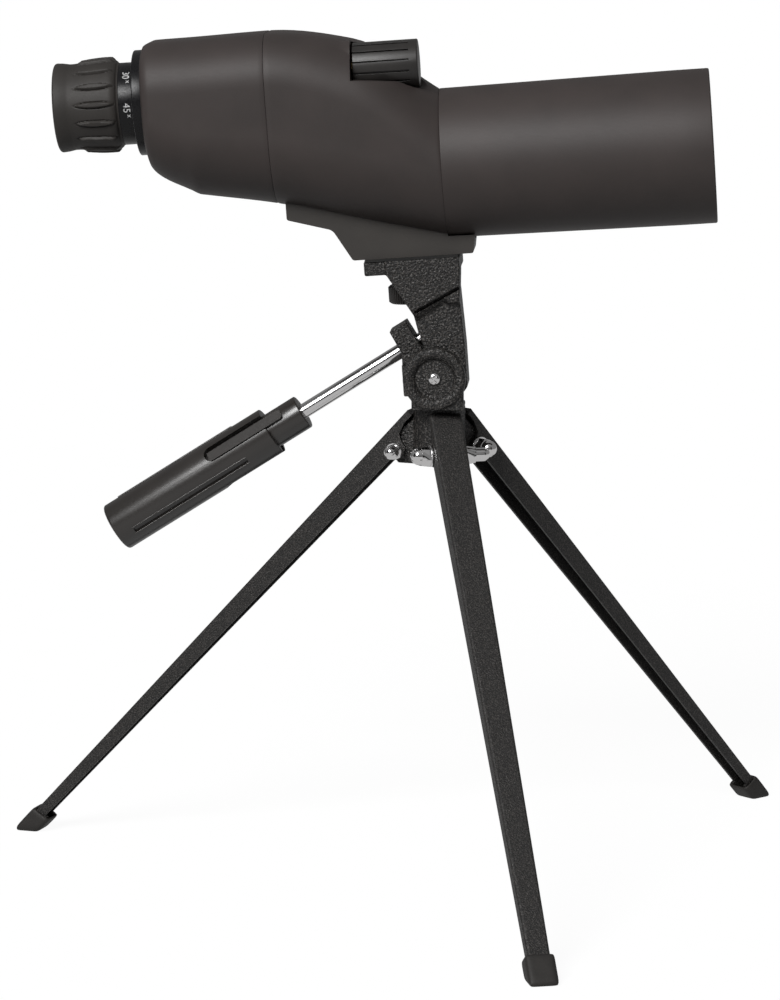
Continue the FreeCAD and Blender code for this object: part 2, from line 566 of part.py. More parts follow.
def pan_handle():
    """Steel rod with a threaded nose, and a moulded grip pressed on its outer end."""
    shoulder = "ear_out - clamp_washer - press_gap"
    subpart(turned("rod", [
        ("-grip_front - rod_deep", 0), ("-grip_front - rod_deep", "rod_r"),
        (f"{shoulder} - press_gap", "rod_r"), (f"{shoulder} - press_gap", "thread_r"),
        ("thread_end", "thread_r"), ("thread_end", 0)]), "handle_rod", clamp)
    subpart(turned("clamp_ring", [
        (shoulder, "thread_r + clamp_gap / 2"), (shoulder, "clamp_washer_r"),
        ("ear_out - press_gap", "clamp_washer_r"),
        ("ear_out - press_gap", "thread_r + clamp_gap / 2")]), "clamp_washer", clamp)
    core = turned("grip_core", [
        ("-grip_front", "rod_r"), ("-grip_front", "grip_core_r"), ("-grip_end + 8", "grip_core_r"),
        ("-grip_end + 8", 0), ("-grip_front - rod_deep - 0.5", 0), ("-grip_front - rod_deep - 0.5", "rod_r")])
    shell = turned("grip_shell", [
        ("-grip_step", "grip_core_r"), ("-grip_step", "grip_r"), ("-grip_end + 1.2", "grip_r"),
        ("-grip_end", "grip_r - 1.2"), ("-grip_end", 0), ("-grip_end + 8", 0),
        ("-grip_end + 8", "grip_core_r")])
    slots = []
    for i in range(3):
        slot = new_body(f"grip_slot_{i}")
        half = "grip_slot_wide / 2"
        tip = "-grip_slot_end + grip_slot_wide / 2"
        slab(slot, [("-grip_step + 1", half), (tip, half, "-grip_slot_wide * 0.5001"), (tip, f"-{half}"),
                    ("-grip_step + 1", f"-{half}")],
             "grip_core_r", "grip_r + 3", "XY_Plane")
        slot.setExpression("Placement", shift(axis="1; 0; 0", angle=f"grip_slot_turn + {120 * i}"))
        slots.append(slot)
    petals = cut("grip_petals", shell, *slots)
    subpart(fused("grip", core, petals), "handle_grip", clamp)


def camera_screw():
    """Captive screw up through the platform, turned by a knurled knob."""
    under = "foot_plane - pad_thick - plate_thick"
    seat = f"{under} - press_gap - stud_washer"
    place = shift("stud_x")
    subpart(turned("stud", [
        (0, "knob_low + 1"), ("stud_r", "knob_low + 1"), ("stud_r", "stud_top"), (0, "stud_top")], "V_Axis"),
        "camera_stud", head, place)
    knob = turned("knob", [
        ("stud_r", "knob_low + 1"), (0, "knob_low + 1"), (0, "knob_low"), ("knob_r - 0.6", "knob_low"),
        ("knob_r", "knob_low + 0.6"), ("knob_r", "knob_high"), ("knob_boss_r", "knob_high"),
        ("knob_boss_r", f"{seat} - press_gap"), ("stud_r", f"{seat} - press_gap")], "V_Axis")
    subpart(knob, "camera_knob", head, place)
    subpart(turned("stud_ring", [
        ("stud_r + 0.1", seat), ("stud_washer_r", seat), ("stud_washer_r", f"{seat} + stud_washer"),
        ("stud_r + 0.1", f"{seat} + stud_washer")], "V_Axis"), "screw_washer", head, place)


# ---- objective -------------------------------------------------------------

def objective_tube():
    """Long tube with a hood in front of the lens and a seat for its cell."""
    body = turned("tube", [
        ("-tube_long", "tube_rear_r - tube_wall"), ("-tube_long", "tube_rear_r"),
        ("-rim_straight", "tube_front_r"), (-0.5, "tube_front_r"), (0, "tube_front_r - 0.5"), (0, "hood_r"),
        ("-hood_deep", "hood_r"), ("-hood_deep", "tube_rear_r - tube_wall")])
    subpart(body, "objective_tube", scope)


def objective_glass():
    """Doublet of two lenses in a cell, held by a screwed ring."""
    inside = "tube_rear_r - tube_wall"
    front = "-hood_deep - 1"
    back = f"{front} - cell_long"
    crown_at = f"{front} - ring_thick - 1.8"
    flint_at = f"{crown_at} - crown_edge - 0.1"
    flint_back = f"{flint_at} - flint_edge"
    seat = f"{front} - ring_thick - 0.4"
    subpart(turned("cell", [
        (back, "lens_r - cell_lip"), (back, inside), (front, inside), (front, "ring_r"), (seat, "ring_r"),
        (seat, "lens_r"), (flint_back, "lens_r"), (flint_back, "lens_r - cell_lip")]), "objective_cell", scope)
    sag = "crown_curve - sqrt(crown_curve ^ 2 - lens_r ^ 2)"
    dish = "flint_curve - sqrt(flint_curve ^ 2 - lens_r ^ 2)"
    subpart(turned("crown", [
        (f"{crown_at} + {sag}", 0, "-crown_curve"), (crown_at, "lens_r"),
        (f"{crown_at} - crown_edge", "lens_r"),
        (f"{crown_at} - crown_edge", 0)]), "objective_crown", scope)
    subpart(turned("flint", [
        (flint_at, 0), (flint_at, "lens_r"), (flint_back, "lens_r", "flint_curve"),
        (f"{flint_back} + {dish}", 0)]), "objective_flint", scope)
    subpart(turned("ring", [
        (f"{front} - ring_thick", "lens_r - 1.2"), (f"{front} - ring_thick", "ring_r"), (front, "ring_r"),
        (front, "lens_r")]), "retaining_ring", scope)
    baffle_rear = "baffle_ahead - tube_long"
    subpart(turned("baffle", [
        (baffle_rear, "baffle_hole"), (baffle_rear, inside), (f"{baffle_rear} + 3 * baffle_thick", inside),
        (f"{baffle_rear} + 3 * baffle_thick", f"{inside} - 0.8"),
        (f"{baffle_rear} + baffle_thick", f"{inside} - 0.8"), (f"{baffle_rear} + baffle_thick", "baffle_hole")]),
        "tube_baffle", scope)


# ---- prism housing ---------------------------------------------------------

# Sections of the housing: distance back, half width, bottom, top, top and bottom corner radius.
FRONT_SECTIONS = [
    ("tube_long", "29.8", "-29.8", "29.8", "29.3", "29.3"),
    ("shell_knee", "31", "-20.6", "52", "24", "29"),
    ("seam_at", "31", "-11.5", "57.2", "20", "28"),
]
REAR_SECTIONS = [
    ("seam_at", "31", "-11.5", "57.2", "20", "28"),
    ("cover_mid", "30.6", "-5.7", "56.65", "20", "26"),
    ("cover_turn", "30", "2.9", "56.5", "20", "24"),
    ("cover_edge", "28.6", "6.6", "55.3", "18.6", "20"),
    ("cover_end", "26.4", "10.6", "53", "16.4", "16"),
]


def housing_loft(name, sections, inset="0", ends=(0, 0)):
    """Loft through rounded sections, all drawn in by the inset and moved at the two ends."""
    body = new_body(name)
    drawings = []
    for i, (back, half, low, high, top_r, low_r) in enumerate(sections):
        move = ends[0] if i == 0 else ends[1] if i == len(sections) - 1 else 0
        drawing = sketch_on(body, "YZ_Plane", f"-({back}) + ({move})")
        w = f"({half} - {inset})"
        b, t = f"({low} + {inset})", f"({high} - {inset})"
        rt, rb = f"({top_r} - {inset})", f"({low_r} - {inset})"
        outline(drawing, [
            (f"-{w}", f"{b} + {rb}"), (f"-{w}", f"{t} - {rt}", rt), (f"-{w} + {rt}", t), (f"{w} - {rt}", t, rt),
            (w, f"{t} - {rt}"), (w, f"{b} + {rb}", rb), (f"{w} - {rb}", b), (f"-{w} + {rb}", b, rb)])
        drawings.append(drawing)
    loft = body.newObject("PartDesign::AdditiveLoft", f"{name}_loft")
    loft.Profile = drawings[0]
    loft.Sections = drawings[1:]
    loft.Ruled = True
    doc.recompute()
    return body


def knob_niche(name, wall):
    """Room for the focus knob, open on its near side down to a falling ledge; grown by a wall."""
    rear = f"-focus_rear - focus_room - {wall}"
    length = f"focus_rear + focus_room + {wall} - tube_long + 4"
    bore = rod_x(f"{name}_bore", f"focus_r + focus_room + {wall}", rear, length, "focus_y", "focus_up")
    side = new_body(f"{name}_side")
    slab(side, [
        (rear, f"focus_up - ledge_rear - {wall}"), ("-ledge_mid_at", f"focus_up - ledge_mid - {wall}"),
        ("-focus_front", f"focus_up - ledge_front - {wall}"),
        ("4 - tube_long", f"focus_up - ledge_front - {wall}"),
        ("4 - tube_long", "focus_up + 20"), (rear, "focus_up + 20")], "-40", "focus_y")
    return fused(f"{name}_whole", bore, side)


def front_shell():
    """Housing from the tube to the seam, with a niche for the focus knob."""
    outside = housing_loft("shell_outside", FRONT_SECTIONS)
    inside = housing_loft("shell_inside", FRONT_SECTIONS, "shell_wall", (1, -1))
    niche = knob_niche("niche", "0")
    saddle = common("niche_saddle", outside, knob_niche("niche_around", "niche_wall"))
    skin = cut("shell_skin", outside, inside)
    spigot = "tube_rear_r - tube_wall - press_gap"
    spigot = turned("shell_spigot", [
        ("-tube_long - 2", f"{spigot} - shell_wall"), ("-tube_long - 2", spigot),
        ("-tube_long + spigot_tube", spigot), ("-tube_long + spigot_tube", f"{spigot} - shell_wall")])
    spindle = rod_x("lead_hole", "lead_r + running_gap", "-seam_at", "60", "focus_y", "focus_up")
    screws = foot_screw_holes("shell")
    whole = fused("shell_whole", skin, saddle, spigot)
    subpart(cut("shell", whole, niche, spindle, *screws), "front_shell", scope)
    return outside


def foot_screw_holes(name):
    return [cylinder(f"{name}_screw_hole_{i}", "foot_screw_r", "foot_screw_long + 4",
                     shift("-foot_screw_at", side, "-foot_screw_seat - foot_screw_long - 0.3"))
            for i, side in enumerate(("-foot_screw_side", "foot_screw_side"))]


def rear_cover():
    """Closed rear half of the housing, holed for the eyepiece."""
    outside = housing_loft("cover_outside", REAR_SECTIONS)
    inside = housing_loft("cover_inside", REAR_SECTIONS[:-1], "shell_wall", (1, "shell_wall"))
    hole = rod_x("cover_hole", "flange_spigot + 0.05", "-cover_end - 2", "10", 0, "eye_offset")
    subpart(cut("cover", outside, inside, hole), "rear_cover", scope)


def housing_seal():
    """Gasket that bridges the seam just inside the two shells."""
    half, low, high, top_r, low_r = (FRONT_SECTIONS[-1][i] for i in range(1, 6))
    body = new_body("seal_outside")
    hole = new_body("seal_inside")
    for part, inset in ((body, "(shell_wall + seat_gap)"), (hole, "(shell_wall + seat_gap + 1.2)")):
        w, b, t = f"({half} - {inset})", f"({low} + {inset})", f"({high} - {inset})"
        rt, rb = f"({top_r} - {inset})", f"({low_r} - {inset})"
        slab(part, [
            (f"-{w}", f"{b} + {rb}"), (f"-{w}", f"{t} - {rt}", rt), (f"-{w} + {rt}", t), (f"{w} - {rt}", t, rt),
            (w, f"{t} - {rt}"), (w, f"{b} + {rb}", rb), (f"{w} - {rb}", b), (f"-{w} + {rb}", b, rb)],
            "-seam_at - 1", "-seam_at + 1", "YZ_Plane")
    subpart(cut("seal", body, hole), "housing_seal", scope)


def scope_foot(shell_outside):
    """Flat-sided foot under the housing, with a threaded insert and two screws from inside."""
    body = new_body("foot_block")
    floor = "foot_plane - axis_above"
    slab(body, [
        ("-foot_back", "-9"), ("-foot_back", "-17.9"), ("-foot_heel", "-23.1"), ("-foot_knee", floor),
        ("-foot_front - 1.1", floor), ("-foot_front", f"{floor} + 6.7"), ("-foot_front", "-26"),
        ("-foot_front - 22", "-22")], "-foot_half", "foot_half")
    tube = doc.addObject("Part::Cone", "foot_tube_clear")
    tube.setExpression("Radius1", bound("tube_rear_r + foot_tube_gap"))
    tube.setExpression("Radius2", bound("tube_front_r + foot_tube_gap"))
    tube.setExpression("Height", bound("tube_long - rim_straight"))
    tube.setExpression("Placement", shift("-tube_long", 0, 0, "0; 1; 0", 90))
    centre = "stud_x - rim_ahead"
    hole = cylinder("foot_insert_hole", "insert_r", "insert_long", shift(centre, 0, floor))
    room = cylinder("foot_stud_room", "stud_r + 0.4", "insert_long + 4", shift(centre, 0, floor))
    screws = foot_screw_holes("foot")
    subpart(cut("foot", body, shell_outside, tube, hole, room, *screws), "scope_foot", scope)
    insert = cylinder("insert_body", "insert_r", "insert_long", shift(centre, 0, floor))
    thread = cylinder("insert_thread", "stud_r + running_gap", "insert_long + 2",
                      shift(centre, 0, f"{floor} - 1"))
    subpart(cut("insert", insert, thread), "thread_insert", scope)
    screws = []
    for i, side in enumerate(("-foot_screw_side", "foot_screw_side")):
        shank = cylinder(f"foot_screw_{i}", "foot_screw_r", "foot_screw_long",
                         shift("-foot_screw_at", side, "-foot_screw_seat - foot_screw_long"))
        button = cylinder(f"foot_screw_top_{i}", "foot_screw_head", "1.8",
                          shift("-foot_screw_at", side, "-foot_screw_seat"))
        screws.append(fused(f"foot_screw_whole_{i}", shank, button))
    subpart(group("foot_screw_group", *screws), "foot_screws", scope)


# ---- prisms and focus ------------------------------------------------------

# Where the beam crosses the prism plates: in, between the prisms, and out to the eyepiece.
BEAM_IN = ("0", "0")
BEAM_MID = ("eye_offset / 2", "eye_offset / 2")
BEAM_OUT = ("0", "eye_offset")
GUIDES = [("13.5", "33.5"), ("23", "10.5")]


def prism(name, apex, *steps):
    body = new_body(name)
    slab(body, [(0, "-prism_half"), (0, "prism_half"), (apex, 0)], "-prism_wide / 2", "prism_wide / 2")
    return subpart(body, name, scope, *steps)


def prisms():
    """Two right-angle prisms, crossed, that lift the axis to the eyepiece."""
    plate = new_body("plate_blank")
    holes = [(*BEAM_IN, "beam_r"), (*BEAM_MID, "beam_r"), (*BEAM_OUT, "beam_r"),
             ("focus_y", "focus_up", "lead_r + 0.6")]
    slab(plate, [
        ("-plate_side", "17.5"), ("-plate_side", "37", "17"), ("-11", "54.3"), ("11", "54.3", "17"),
        ("plate_side", "37"), ("plate_side", "17.5", "24.8"), ("3.4", "-7.6"), ("-3.4", "-7.6", "24.8")],
        "-prism_plate_at - prism_plate", "-prism_plate_at", "YZ_Plane", holes)
    subpart(plate, "prism_plate", scope)
    prism("rear_prism", "-prism_half", shift("-prism_plate_at - prism_plate - 0.02", "eye_offset / 4",
                                             "eye_offset / 4", "1; 0; 0", -45))
    carriage = new_body("carriage_blank")
    slab(carriage, [
        ("-17.5", "36"), ("-17.5", "46"), ("5", "46"), ("27.5", "23.5"), ("27.5", "12"), ("20", "3.5"),
        ("13", "4.5")], "-carriage_at", "-carriage_at + carriage", "YZ_Plane",
        [(*BEAM_MID, "beam_r"), (*BEAM_OUT, "beam_r")])
    boss = rod_x("carriage_boss", "lead_r + 1.8", "-carriage_at", "8", "focus_y", "focus_up")
    bores = [rod_x(f"carriage_bore_{i}", "guide_r + running_gap", "-carriage_at - 2", "6", *spot)
             for i, spot in enumerate(GUIDES)]
    nut = rod_x("carriage_nut", "lead_r + running_gap", "-carriage_at - 2", "14", "focus_y", "focus_up")
    subpart(cut("carriage", fused("carriage_whole", carriage, boss), nut, *bores), "prism_carriage", scope)
    prism("front_prism", "prism_half", shift("-carriage_at + carriage + 0.02", "eye_offset / 4",
                                             "eye_offset * 3 / 4", "1; 0; 0", 45))
    rods = [rod_x(f"guide_{i}", "guide_r", "-prism_plate_at", "prism_plate_at - guide_front", *spot)
            for i, spot in enumerate(GUIDES)]
    subpart(group("guides", *rods), "guide_rods", scope)


def focus_drive():
    """Ribbed knob on a lead screw that carries the front prism along."""
    body = turned("focus_knob_body", [
        ("-focus_rear", "lead_r"), ("-focus_rear", "focus_r"), ("-focus_front - 0.6", "focus_r"),
        ("-focus_front", "focus_r - 0.6"), ("-focus_front", 0), ("-focus_front - 3", 0),
        ("-focus_front - 3", "lead_r")])
    grooves = []
    for i in range(14):
        groove = doc.addObject("Part::Box", f"focus_groove_{i}")
        groove.setExpression("Length", bound("focus_rear - focus_front - 3.6"))
        groove.Width = 0.8
        groove.Height = 1.4
        turn = shift(axis="1; 0; 0", angle=f"groove_turn * {i}")
        groove.setExpression("Placement", f"{turn} * {shift('-focus_rear - 0.2', '-0.4', 'focus_r - 0.7')}")
        grooves.append(groove)
    subpart(cut("focus_knob_cut", body, *grooves), "focus_knob", focus)
    subpart(turned("lead", [
        ("-lead_end", 0), ("-lead_end", "lead_r"), ("-focus_front - 3", "lead_r"), ("-focus_front - 3", 0)]),
        "focus_screw", focus)


# ---- eyepiece --------------------------------------------------------------

def lens(name, label, front, thick, radius):
    """Small lens with two bulging faces; thick is its edge."""
    sag = f"lens_bulge - sqrt(lens_bulge ^ 2 - ({radius}) ^ 2)"
    body = turned(name, [
        (f"{front} + {sag}", 0, "-lens_bulge"), (front, radius),
        (f"{front} - ({thick})", radius, "-lens_bulge"),
        (f"{front} - ({thick}) - ({sag})", 0)])
    subpart(body, label, eye)


def eyepiece():
    """Fixed barrel and flange, with a turning sleeve that moves two lens cells."""
    subpart(turned("flange", [
        ("-cover_end + 4", "barrel_r"), ("-cover_end + 4", "flange_spigot"), ("-cover_end", "flange_spigot"),
        ("-cover_end", "flange_r"), ("-flange_rear + 0.5", "flange_r"), ("-flange_rear", "flange_r - 0.5"),
        ("-flange_rear", "number_r + 0.3"), ("-number_front + 0.3", "number_r + 0.3"),
        ("-number_front + 0.3", "barrel_r")]), "eyepiece_flange", eye)
    bore = "barrel_r - barrel_wall"
    subpart(turned("barrel", [
        ("-barrel_rear", bore), ("-barrel_rear", "barrel_r"), ("-barrel_front", "barrel_r"),
        ("-barrel_front", bore)]), "eyepiece_barrel", eye)
    running = "barrel_r + running_gap"
    subpart(turned("sleeve", [
        ("-sleeve_rear", running), ("-sleeve_rear", "sleeve_r"), ("-sleeve_front", "sleeve_r"),
        ("-sleeve_front", running)]), "zoom_sleeve", eye)
    subpart(turned("numbers", [
        ("-number_rear", "sleeve_r"), ("-number_rear", "number_r"), ("-number_front", "number_r"),
        ("-number_front", f"{running} + 0.6"), ("-sleeve_front", f"{running} + 0.6"),
        ("-sleeve_front", "sleeve_r")]), "number_ring", eye)
    subpart(turned("cup", [
        ("-cup_rear", "cup_mouth_r"), ("-cup_rear", "cup_r"), ("-grip_waist", "grip_waist_r", "30"),
        ("-grip_peak", "grip_peak_r", "40"), ("-number_rear", "grip_waist_r + 0.1"),
        ("-number_rear", "sleeve_r"), ("-sleeve_rear", "sleeve_r"), ("-sleeve_rear", "barrel_r + 0.3"),
        ("-barrel_rear - 0.3", "barrel_r + 0.3"),
        ("-barrel_rear - 0.3", "cup_floor_r")]), "eyecup_grip", eye)
    lens("eye_glass", "eye_lens", "-barrel_rear + eye_lens_thick + 2", "2.2", bore)
    for name, front in (("front", "-front_cell_at"), ("rear", "-rear_cell_at")):
        subpart(turned(f"{name}_cell", [
            (f"{front} - zoom_cell", "cell_hole"), (f"{front} - zoom_cell", "cell_r"), (front, "cell_r"),
            (front, "cell_hole")]), f"zoom_cell_{name}", eye)
        lens(f"{name}_glass", f"zoom_lens_{name}", f"{front} - 2.2", "1.6", "cell_hole")


def check_and_write():
    """Refuse a failed object or an invalid sub-part, then write each one to its file."""
    doc.recompute()
    for thing in doc.Objects:
        if {"Invalid", "Error"} & set(thing.State):
            raise SystemExit(f"{thing.Label} failed: {thing.State}")
    for thing in subparts:
        if thing.Shape.isNull() or not thing.Shape.isValid() or thing.Shape.Volume <= 0:
            raise SystemExit(f"{thing.Label} has no valid shape")
    os.makedirs("parts", exist_ok=True)
    for thing in subparts:
        thing.Shape.exportStep(f"parts/{thing.Label}.step")
    print(len(subparts), "sub-parts written")


tripod()
neck_casting()
pan_fasteners()
tilt_fasteners()
head_casting()
platform_pad()
pan_handle()
camera_screw()
objective_tube()
objective_glass()
scope_foot(front_shell())
rear_cover()
housing_seal()
prisms()
focus_drive()
eyepiece()
check_and_write()
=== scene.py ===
import json
import math
import bmesh
import bpy
from mathutils import Matrix, Vector


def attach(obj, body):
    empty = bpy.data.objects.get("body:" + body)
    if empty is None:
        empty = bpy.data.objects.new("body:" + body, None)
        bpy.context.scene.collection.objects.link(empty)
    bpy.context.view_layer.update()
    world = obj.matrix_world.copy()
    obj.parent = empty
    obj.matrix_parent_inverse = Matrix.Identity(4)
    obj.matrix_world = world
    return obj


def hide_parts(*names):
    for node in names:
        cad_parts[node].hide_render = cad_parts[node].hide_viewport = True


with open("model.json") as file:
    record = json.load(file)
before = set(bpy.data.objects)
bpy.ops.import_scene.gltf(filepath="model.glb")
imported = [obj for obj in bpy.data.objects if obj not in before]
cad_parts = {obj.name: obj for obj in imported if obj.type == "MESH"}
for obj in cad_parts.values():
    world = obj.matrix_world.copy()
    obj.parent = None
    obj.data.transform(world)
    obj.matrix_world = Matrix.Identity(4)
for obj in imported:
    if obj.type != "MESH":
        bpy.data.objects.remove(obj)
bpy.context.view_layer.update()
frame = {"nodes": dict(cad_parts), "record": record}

print("frame loaded")


# Places. Sizes are millimetres in the piece's own place; finishPiece brings them into the scene.
def moved(x, y, z):
    return Matrix.Translation((x, y, z))


def turned(angle, axis):
    return Matrix.Rotation(math.radians(angle), 4, axis)


layout = {
    "column": (21.34, 24.71), "tiltPivot": (-1.35, 204.2), "noseUp": 4.03,
    "clampTurn": 28.35, "handleUp": 15.5, "studBack": -6.2,
    "rimAhead": 117.2, "axisAbove": 85.1, "eyeUp": 32.2, "focusSide": -12.0, "focusUp": 41.4,
    "legTurn": {"a": -75, "b": 43.5, "c": 165}, "legPivot": (16.0, 173.1), "splay": 45.6,
}
toMetres = Matrix.Scale(0.001, 4)
standPlace = toMetres @ moved(*layout["column"], 0)
tiltPlace = standPlace @ moved(layout["tiltPivot"][0], 0, layout["tiltPivot"][1])
headPlace = tiltPlace @ turned(-layout["noseUp"], "Y")
clampPlace = headPlace @ turned(-layout["clampTurn"], "Y") @ moved(0, 0, layout["handleUp"])
studPlace = headPlace @ moved(layout["studBack"], 0, 0)
scopePlace = headPlace @ moved(layout["rimAhead"], 0, layout["axisAbove"])
eyePlace = scopePlace @ moved(0, 0, layout["eyeUp"])
focusPlace = scopePlace @ moved(0, layout["focusSide"], layout["focusUp"])
legPlaces = {leg: standPlace @ turned(angle, "Z") @ moved(layout["legPivot"][0], 0, layout["legPivot"][1])
             @ turned(layout["splay"], "Y") for leg, angle in layout["legTurn"].items()}


# Mesh tools. A corner's third value softens it by that much.
def softenCorners(bm, corners, verts, segments=5):
    for vert, corner in zip(verts, corners):
        if len(corner) == 3:
            bmesh.ops.bevel(bm, geom=[vert], offset=corner[2], offset_type="OFFSET", segments=segments,
                            profile=0.5, affect="VERTICES", material=-1, clamp_overlap=True)


def spun(profile, steps=96, axis="X", closed=True):
    bm = bmesh.new()
    along = (lambda a, r: (a, 0, r)) if axis == "X" else (lambda a, r: (r, 0, a))
    verts = [bm.verts.new(along(p[0], p[1])) for p in profile]
    for first, second in zip(verts, verts[1:] + verts[:1] if closed else verts[1:]):
        bm.edges.new((first, second))
    softenCorners(bm, profile, verts)
    bmesh.ops.spin(bm, geom=bm.verts[:] + bm.edges[:], cent=(0, 0, 0),
                   axis=(1, 0, 0) if axis == "X" else (0, 0, 1),
                   angle=2 * math.pi, steps=steps, use_merge=True)
    bmesh.ops.remove_doubles(bm, verts=bm.verts[:], dist=0.002)
    bmesh.ops.recalc_face_normals(bm, faces=bm.faces[:])
    return bm


def outline(corners, level, plane):
    bm = bmesh.new()
    spots = {"XZ": lambda a, b: (a, level, b), "YZ": lambda a, b: (level, a, b),
             "XY": lambda a, b: (a, b, level)}
    verts = [bm.verts.new(spots[plane](c[0], c[1])) for c in corners]
    bm.faces.new(verts)
    softenCorners(bm, corners, verts)
    return bm


def plate(corners, low, high, plane="XZ"):
    bm = outline(corners, low, plane)
    thick = {"XZ": (0, high - low, 0), "YZ": (high - low, 0, 0), "XY": (0, 0, high - low)}[plane]
    grown = bmesh.ops.extrude_face_region(bm, geom=bm.faces[:])
    bmesh.ops.translate(bm, verts=[v for v in grown["geom"] if isinstance(v, bmesh.types.BMVert)], vec=thick)
    bmesh.ops.recalc_face_normals(bm, faces=bm.faces[:])
    return bm


def rod(radius, low, high, axis="Y", at=(0, 0, 0), segments=64, tip=None):
    bm = bmesh.new()
    bmesh.ops.create_cone(bm, cap_ends=True, segments=segments, radius1=radius,
                          radius2=radius if tip is None else tip, depth=high - low)
    bmesh.ops.translate(bm, verts=bm.verts[:], vec=(0, 0, (high + low) / 2))
    turn = {"X": turned(90, "Y"), "Y": turned(-90, "X"), "Z": Matrix.Identity(4)}[axis]
    bmesh.ops.transform(bm, verts=bm.verts[:], matrix=moved(*at) @ turn)
    bmesh.ops.recalc_face_normals(bm, faces=bm.faces[:])
    return bm


def placed(bm, place):
    bmesh.ops.transform(bm, verts=bm.verts[:], matrix=place)
    return bm


def looseObject(bm, name):
    mesh = bpy.data.meshes.new(name)
    bm.to_mesh(mesh)
    bm.free()
    obj = bpy.data.objects.new(name, mesh)
    bpy.context.scene.collection.objects.link(obj)
    return obj


def settled(obj):
    graph = bpy.context.evaluated_depsgraph_get()
    mesh = bpy.data.meshes.new_from_object(obj.evaluated_get(graph))
    bm = bmesh.new()
    bm.from_mesh(mesh)
    bpy.data.objects.remove(obj)
    bpy.data.meshes.remove(mesh)
    return bm


def combined(base, tools, operation="DIFFERENCE"):
    body = looseObject(base, "workpiece")
    helpers = [looseObject(tool, "tool") for tool in tools]
    for helper in helpers:
        step = body.modifiers.new("cut", "BOOLEAN")
        step.operation = operation
        step.object = helper
        step.solver = "EXACT"
    bm = settled(body)
    for helper in helpers:
        bpy.data.objects.remove(helper)
    bmesh.ops.remove_doubles(bm, verts=bm.verts[:], dist=0.004)
    return bm


def together(*parts):
    whole = bmesh.new()
    for part in parts:
        mesh = bpy.data.meshes.new("share")
        part.to_mesh(mesh)
        part.free()
        whole.from_mesh(mesh)
        bpy.data.meshes.remove(mesh)
    return whole


def cast(bm, grain, smoothing=6):
    # sand-cast look: every edge rounded by remeshing and smoothing
    obj = looseObject(bm, "casting")
    remesh = obj.modifiers.new("skin", "REMESH")
    remesh.mode = "VOXEL"
    remesh.voxel_size = grain
    smooth = obj.modifiers.new("soften", "SMOOTH")
    smooth.factor = 0.5
    smooth.iterations = smoothing
    return settled(obj)


def finishPiece(name, bm, place, body, slot, nodes=(), edge=0.0, sharp=35, segments=3, material=None):
    placed(bm, place)
    bmesh.ops.recalc_face_normals(bm, faces=bm.faces[:])
    for face in bm.faces:
        face.smooth = True
    obj = looseObject(bm, name)
    obj.data.set_sharp_from_angle(angle=math.radians(sharp))
    obj.data.materials.append(material or finishes[slot])
    if edge:
        soften = obj.modifiers.new("edges", "BEVEL")
        soften.width = edge * 0.001
        soften.segments = segments
        soften.limit_method = "ANGLE"
        soften.angle_limit = math.radians(sharp)
        soften.harden_normals = True
    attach(obj, body)
    if nodes:
        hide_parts(*nodes)
    return obj


# Finishes
def newFinish(name, colour, roughness, metallic=0.0, specular=0.5):
    material = bpy.data.materials.new(name)
    material.use_nodes = True
    shader = material.node_tree.nodes["Principled BSDF"]
    shader.inputs["Base Color"].default_value = (*colour, 1)
    shader.inputs["Roughness"].default_value = roughness
    shader.inputs["Metallic"].default_value = metallic
    shader.inputs["Specular IOR Level"].default_value = specular
    return material, material.node_tree.nodes, material.node_tree.links, shader


def addNoise(nodes, links, scale, detail=2.0, stretch=None):
    coords = nodes.new("ShaderNodeTexCoord")
    noise = nodes.new("ShaderNodeTexNoise")
    noise.inputs["Scale"].default_value = scale
    noise.inputs["Detail"].default_value = detail
    source = coords.outputs["Object"]
    if stretch:
        mapping = nodes.new("ShaderNodeMapping")
        mapping.inputs["Scale"].default_value = stretch
        links.new(source, mapping.inputs["Vector"])
        source = mapping.outputs["Vector"]
    links.new(source, noise.inputs["Vector"])
    return noise


def addRamp(nodes, links, source, stops, target):
    ramp = nodes.new("ShaderNodeValToRGB")
    while len(ramp.color_ramp.elements) < len(stops):
        ramp.color_ramp.elements.new(0.5)
    for element, (at, colour) in zip(ramp.color_ramp.elements, stops):
        element.position = at
        element.color = (*colour, 1) if isinstance(colour, tuple) else (colour, colour, colour, 1)
    links.new(source, ramp.inputs["Fac"])
    links.new(ramp.outputs["Color"], target)
    return ramp


def addBump(nodes, links, source, strength, distance, shader, below=None):
    bump = nodes.new("ShaderNodeBump")
    bump.inputs["Strength"].default_value = strength
    bump.inputs["Distance"].default_value = distance
    links.new(source, bump.inputs["Height"])
    if below:
        links.new(below.outputs["Normal"], bump.inputs["Normal"])
    links.new(bump.outputs["Normal"], shader.inputs["Normal"])
    return bump


def grainyFinish(name, dark, light, roughness, patchScale, grainScale, strength, distance, specular=0.5,
                 roughSpread=0.06):
    material, nodes, links, shader = newFinish(name, light, roughness, specular=specular)
    patches = addNoise(nodes, links, patchScale, 3)
    addRamp(nodes, links, patches.outputs["Fac"], [(0.35, dark), (0.65, light)], shader.inputs["Base Color"])
    grain = addNoise(nodes, links, grainScale, 2)
    addRamp(nodes, links, grain.outputs["Fac"],
            [(0.3, roughness - roughSpread), (0.7, roughness + roughSpread)],
            shader.inputs["Roughness"])
    addBump(nodes, links, grain.outputs["Fac"], strength, distance, shader)
    return material


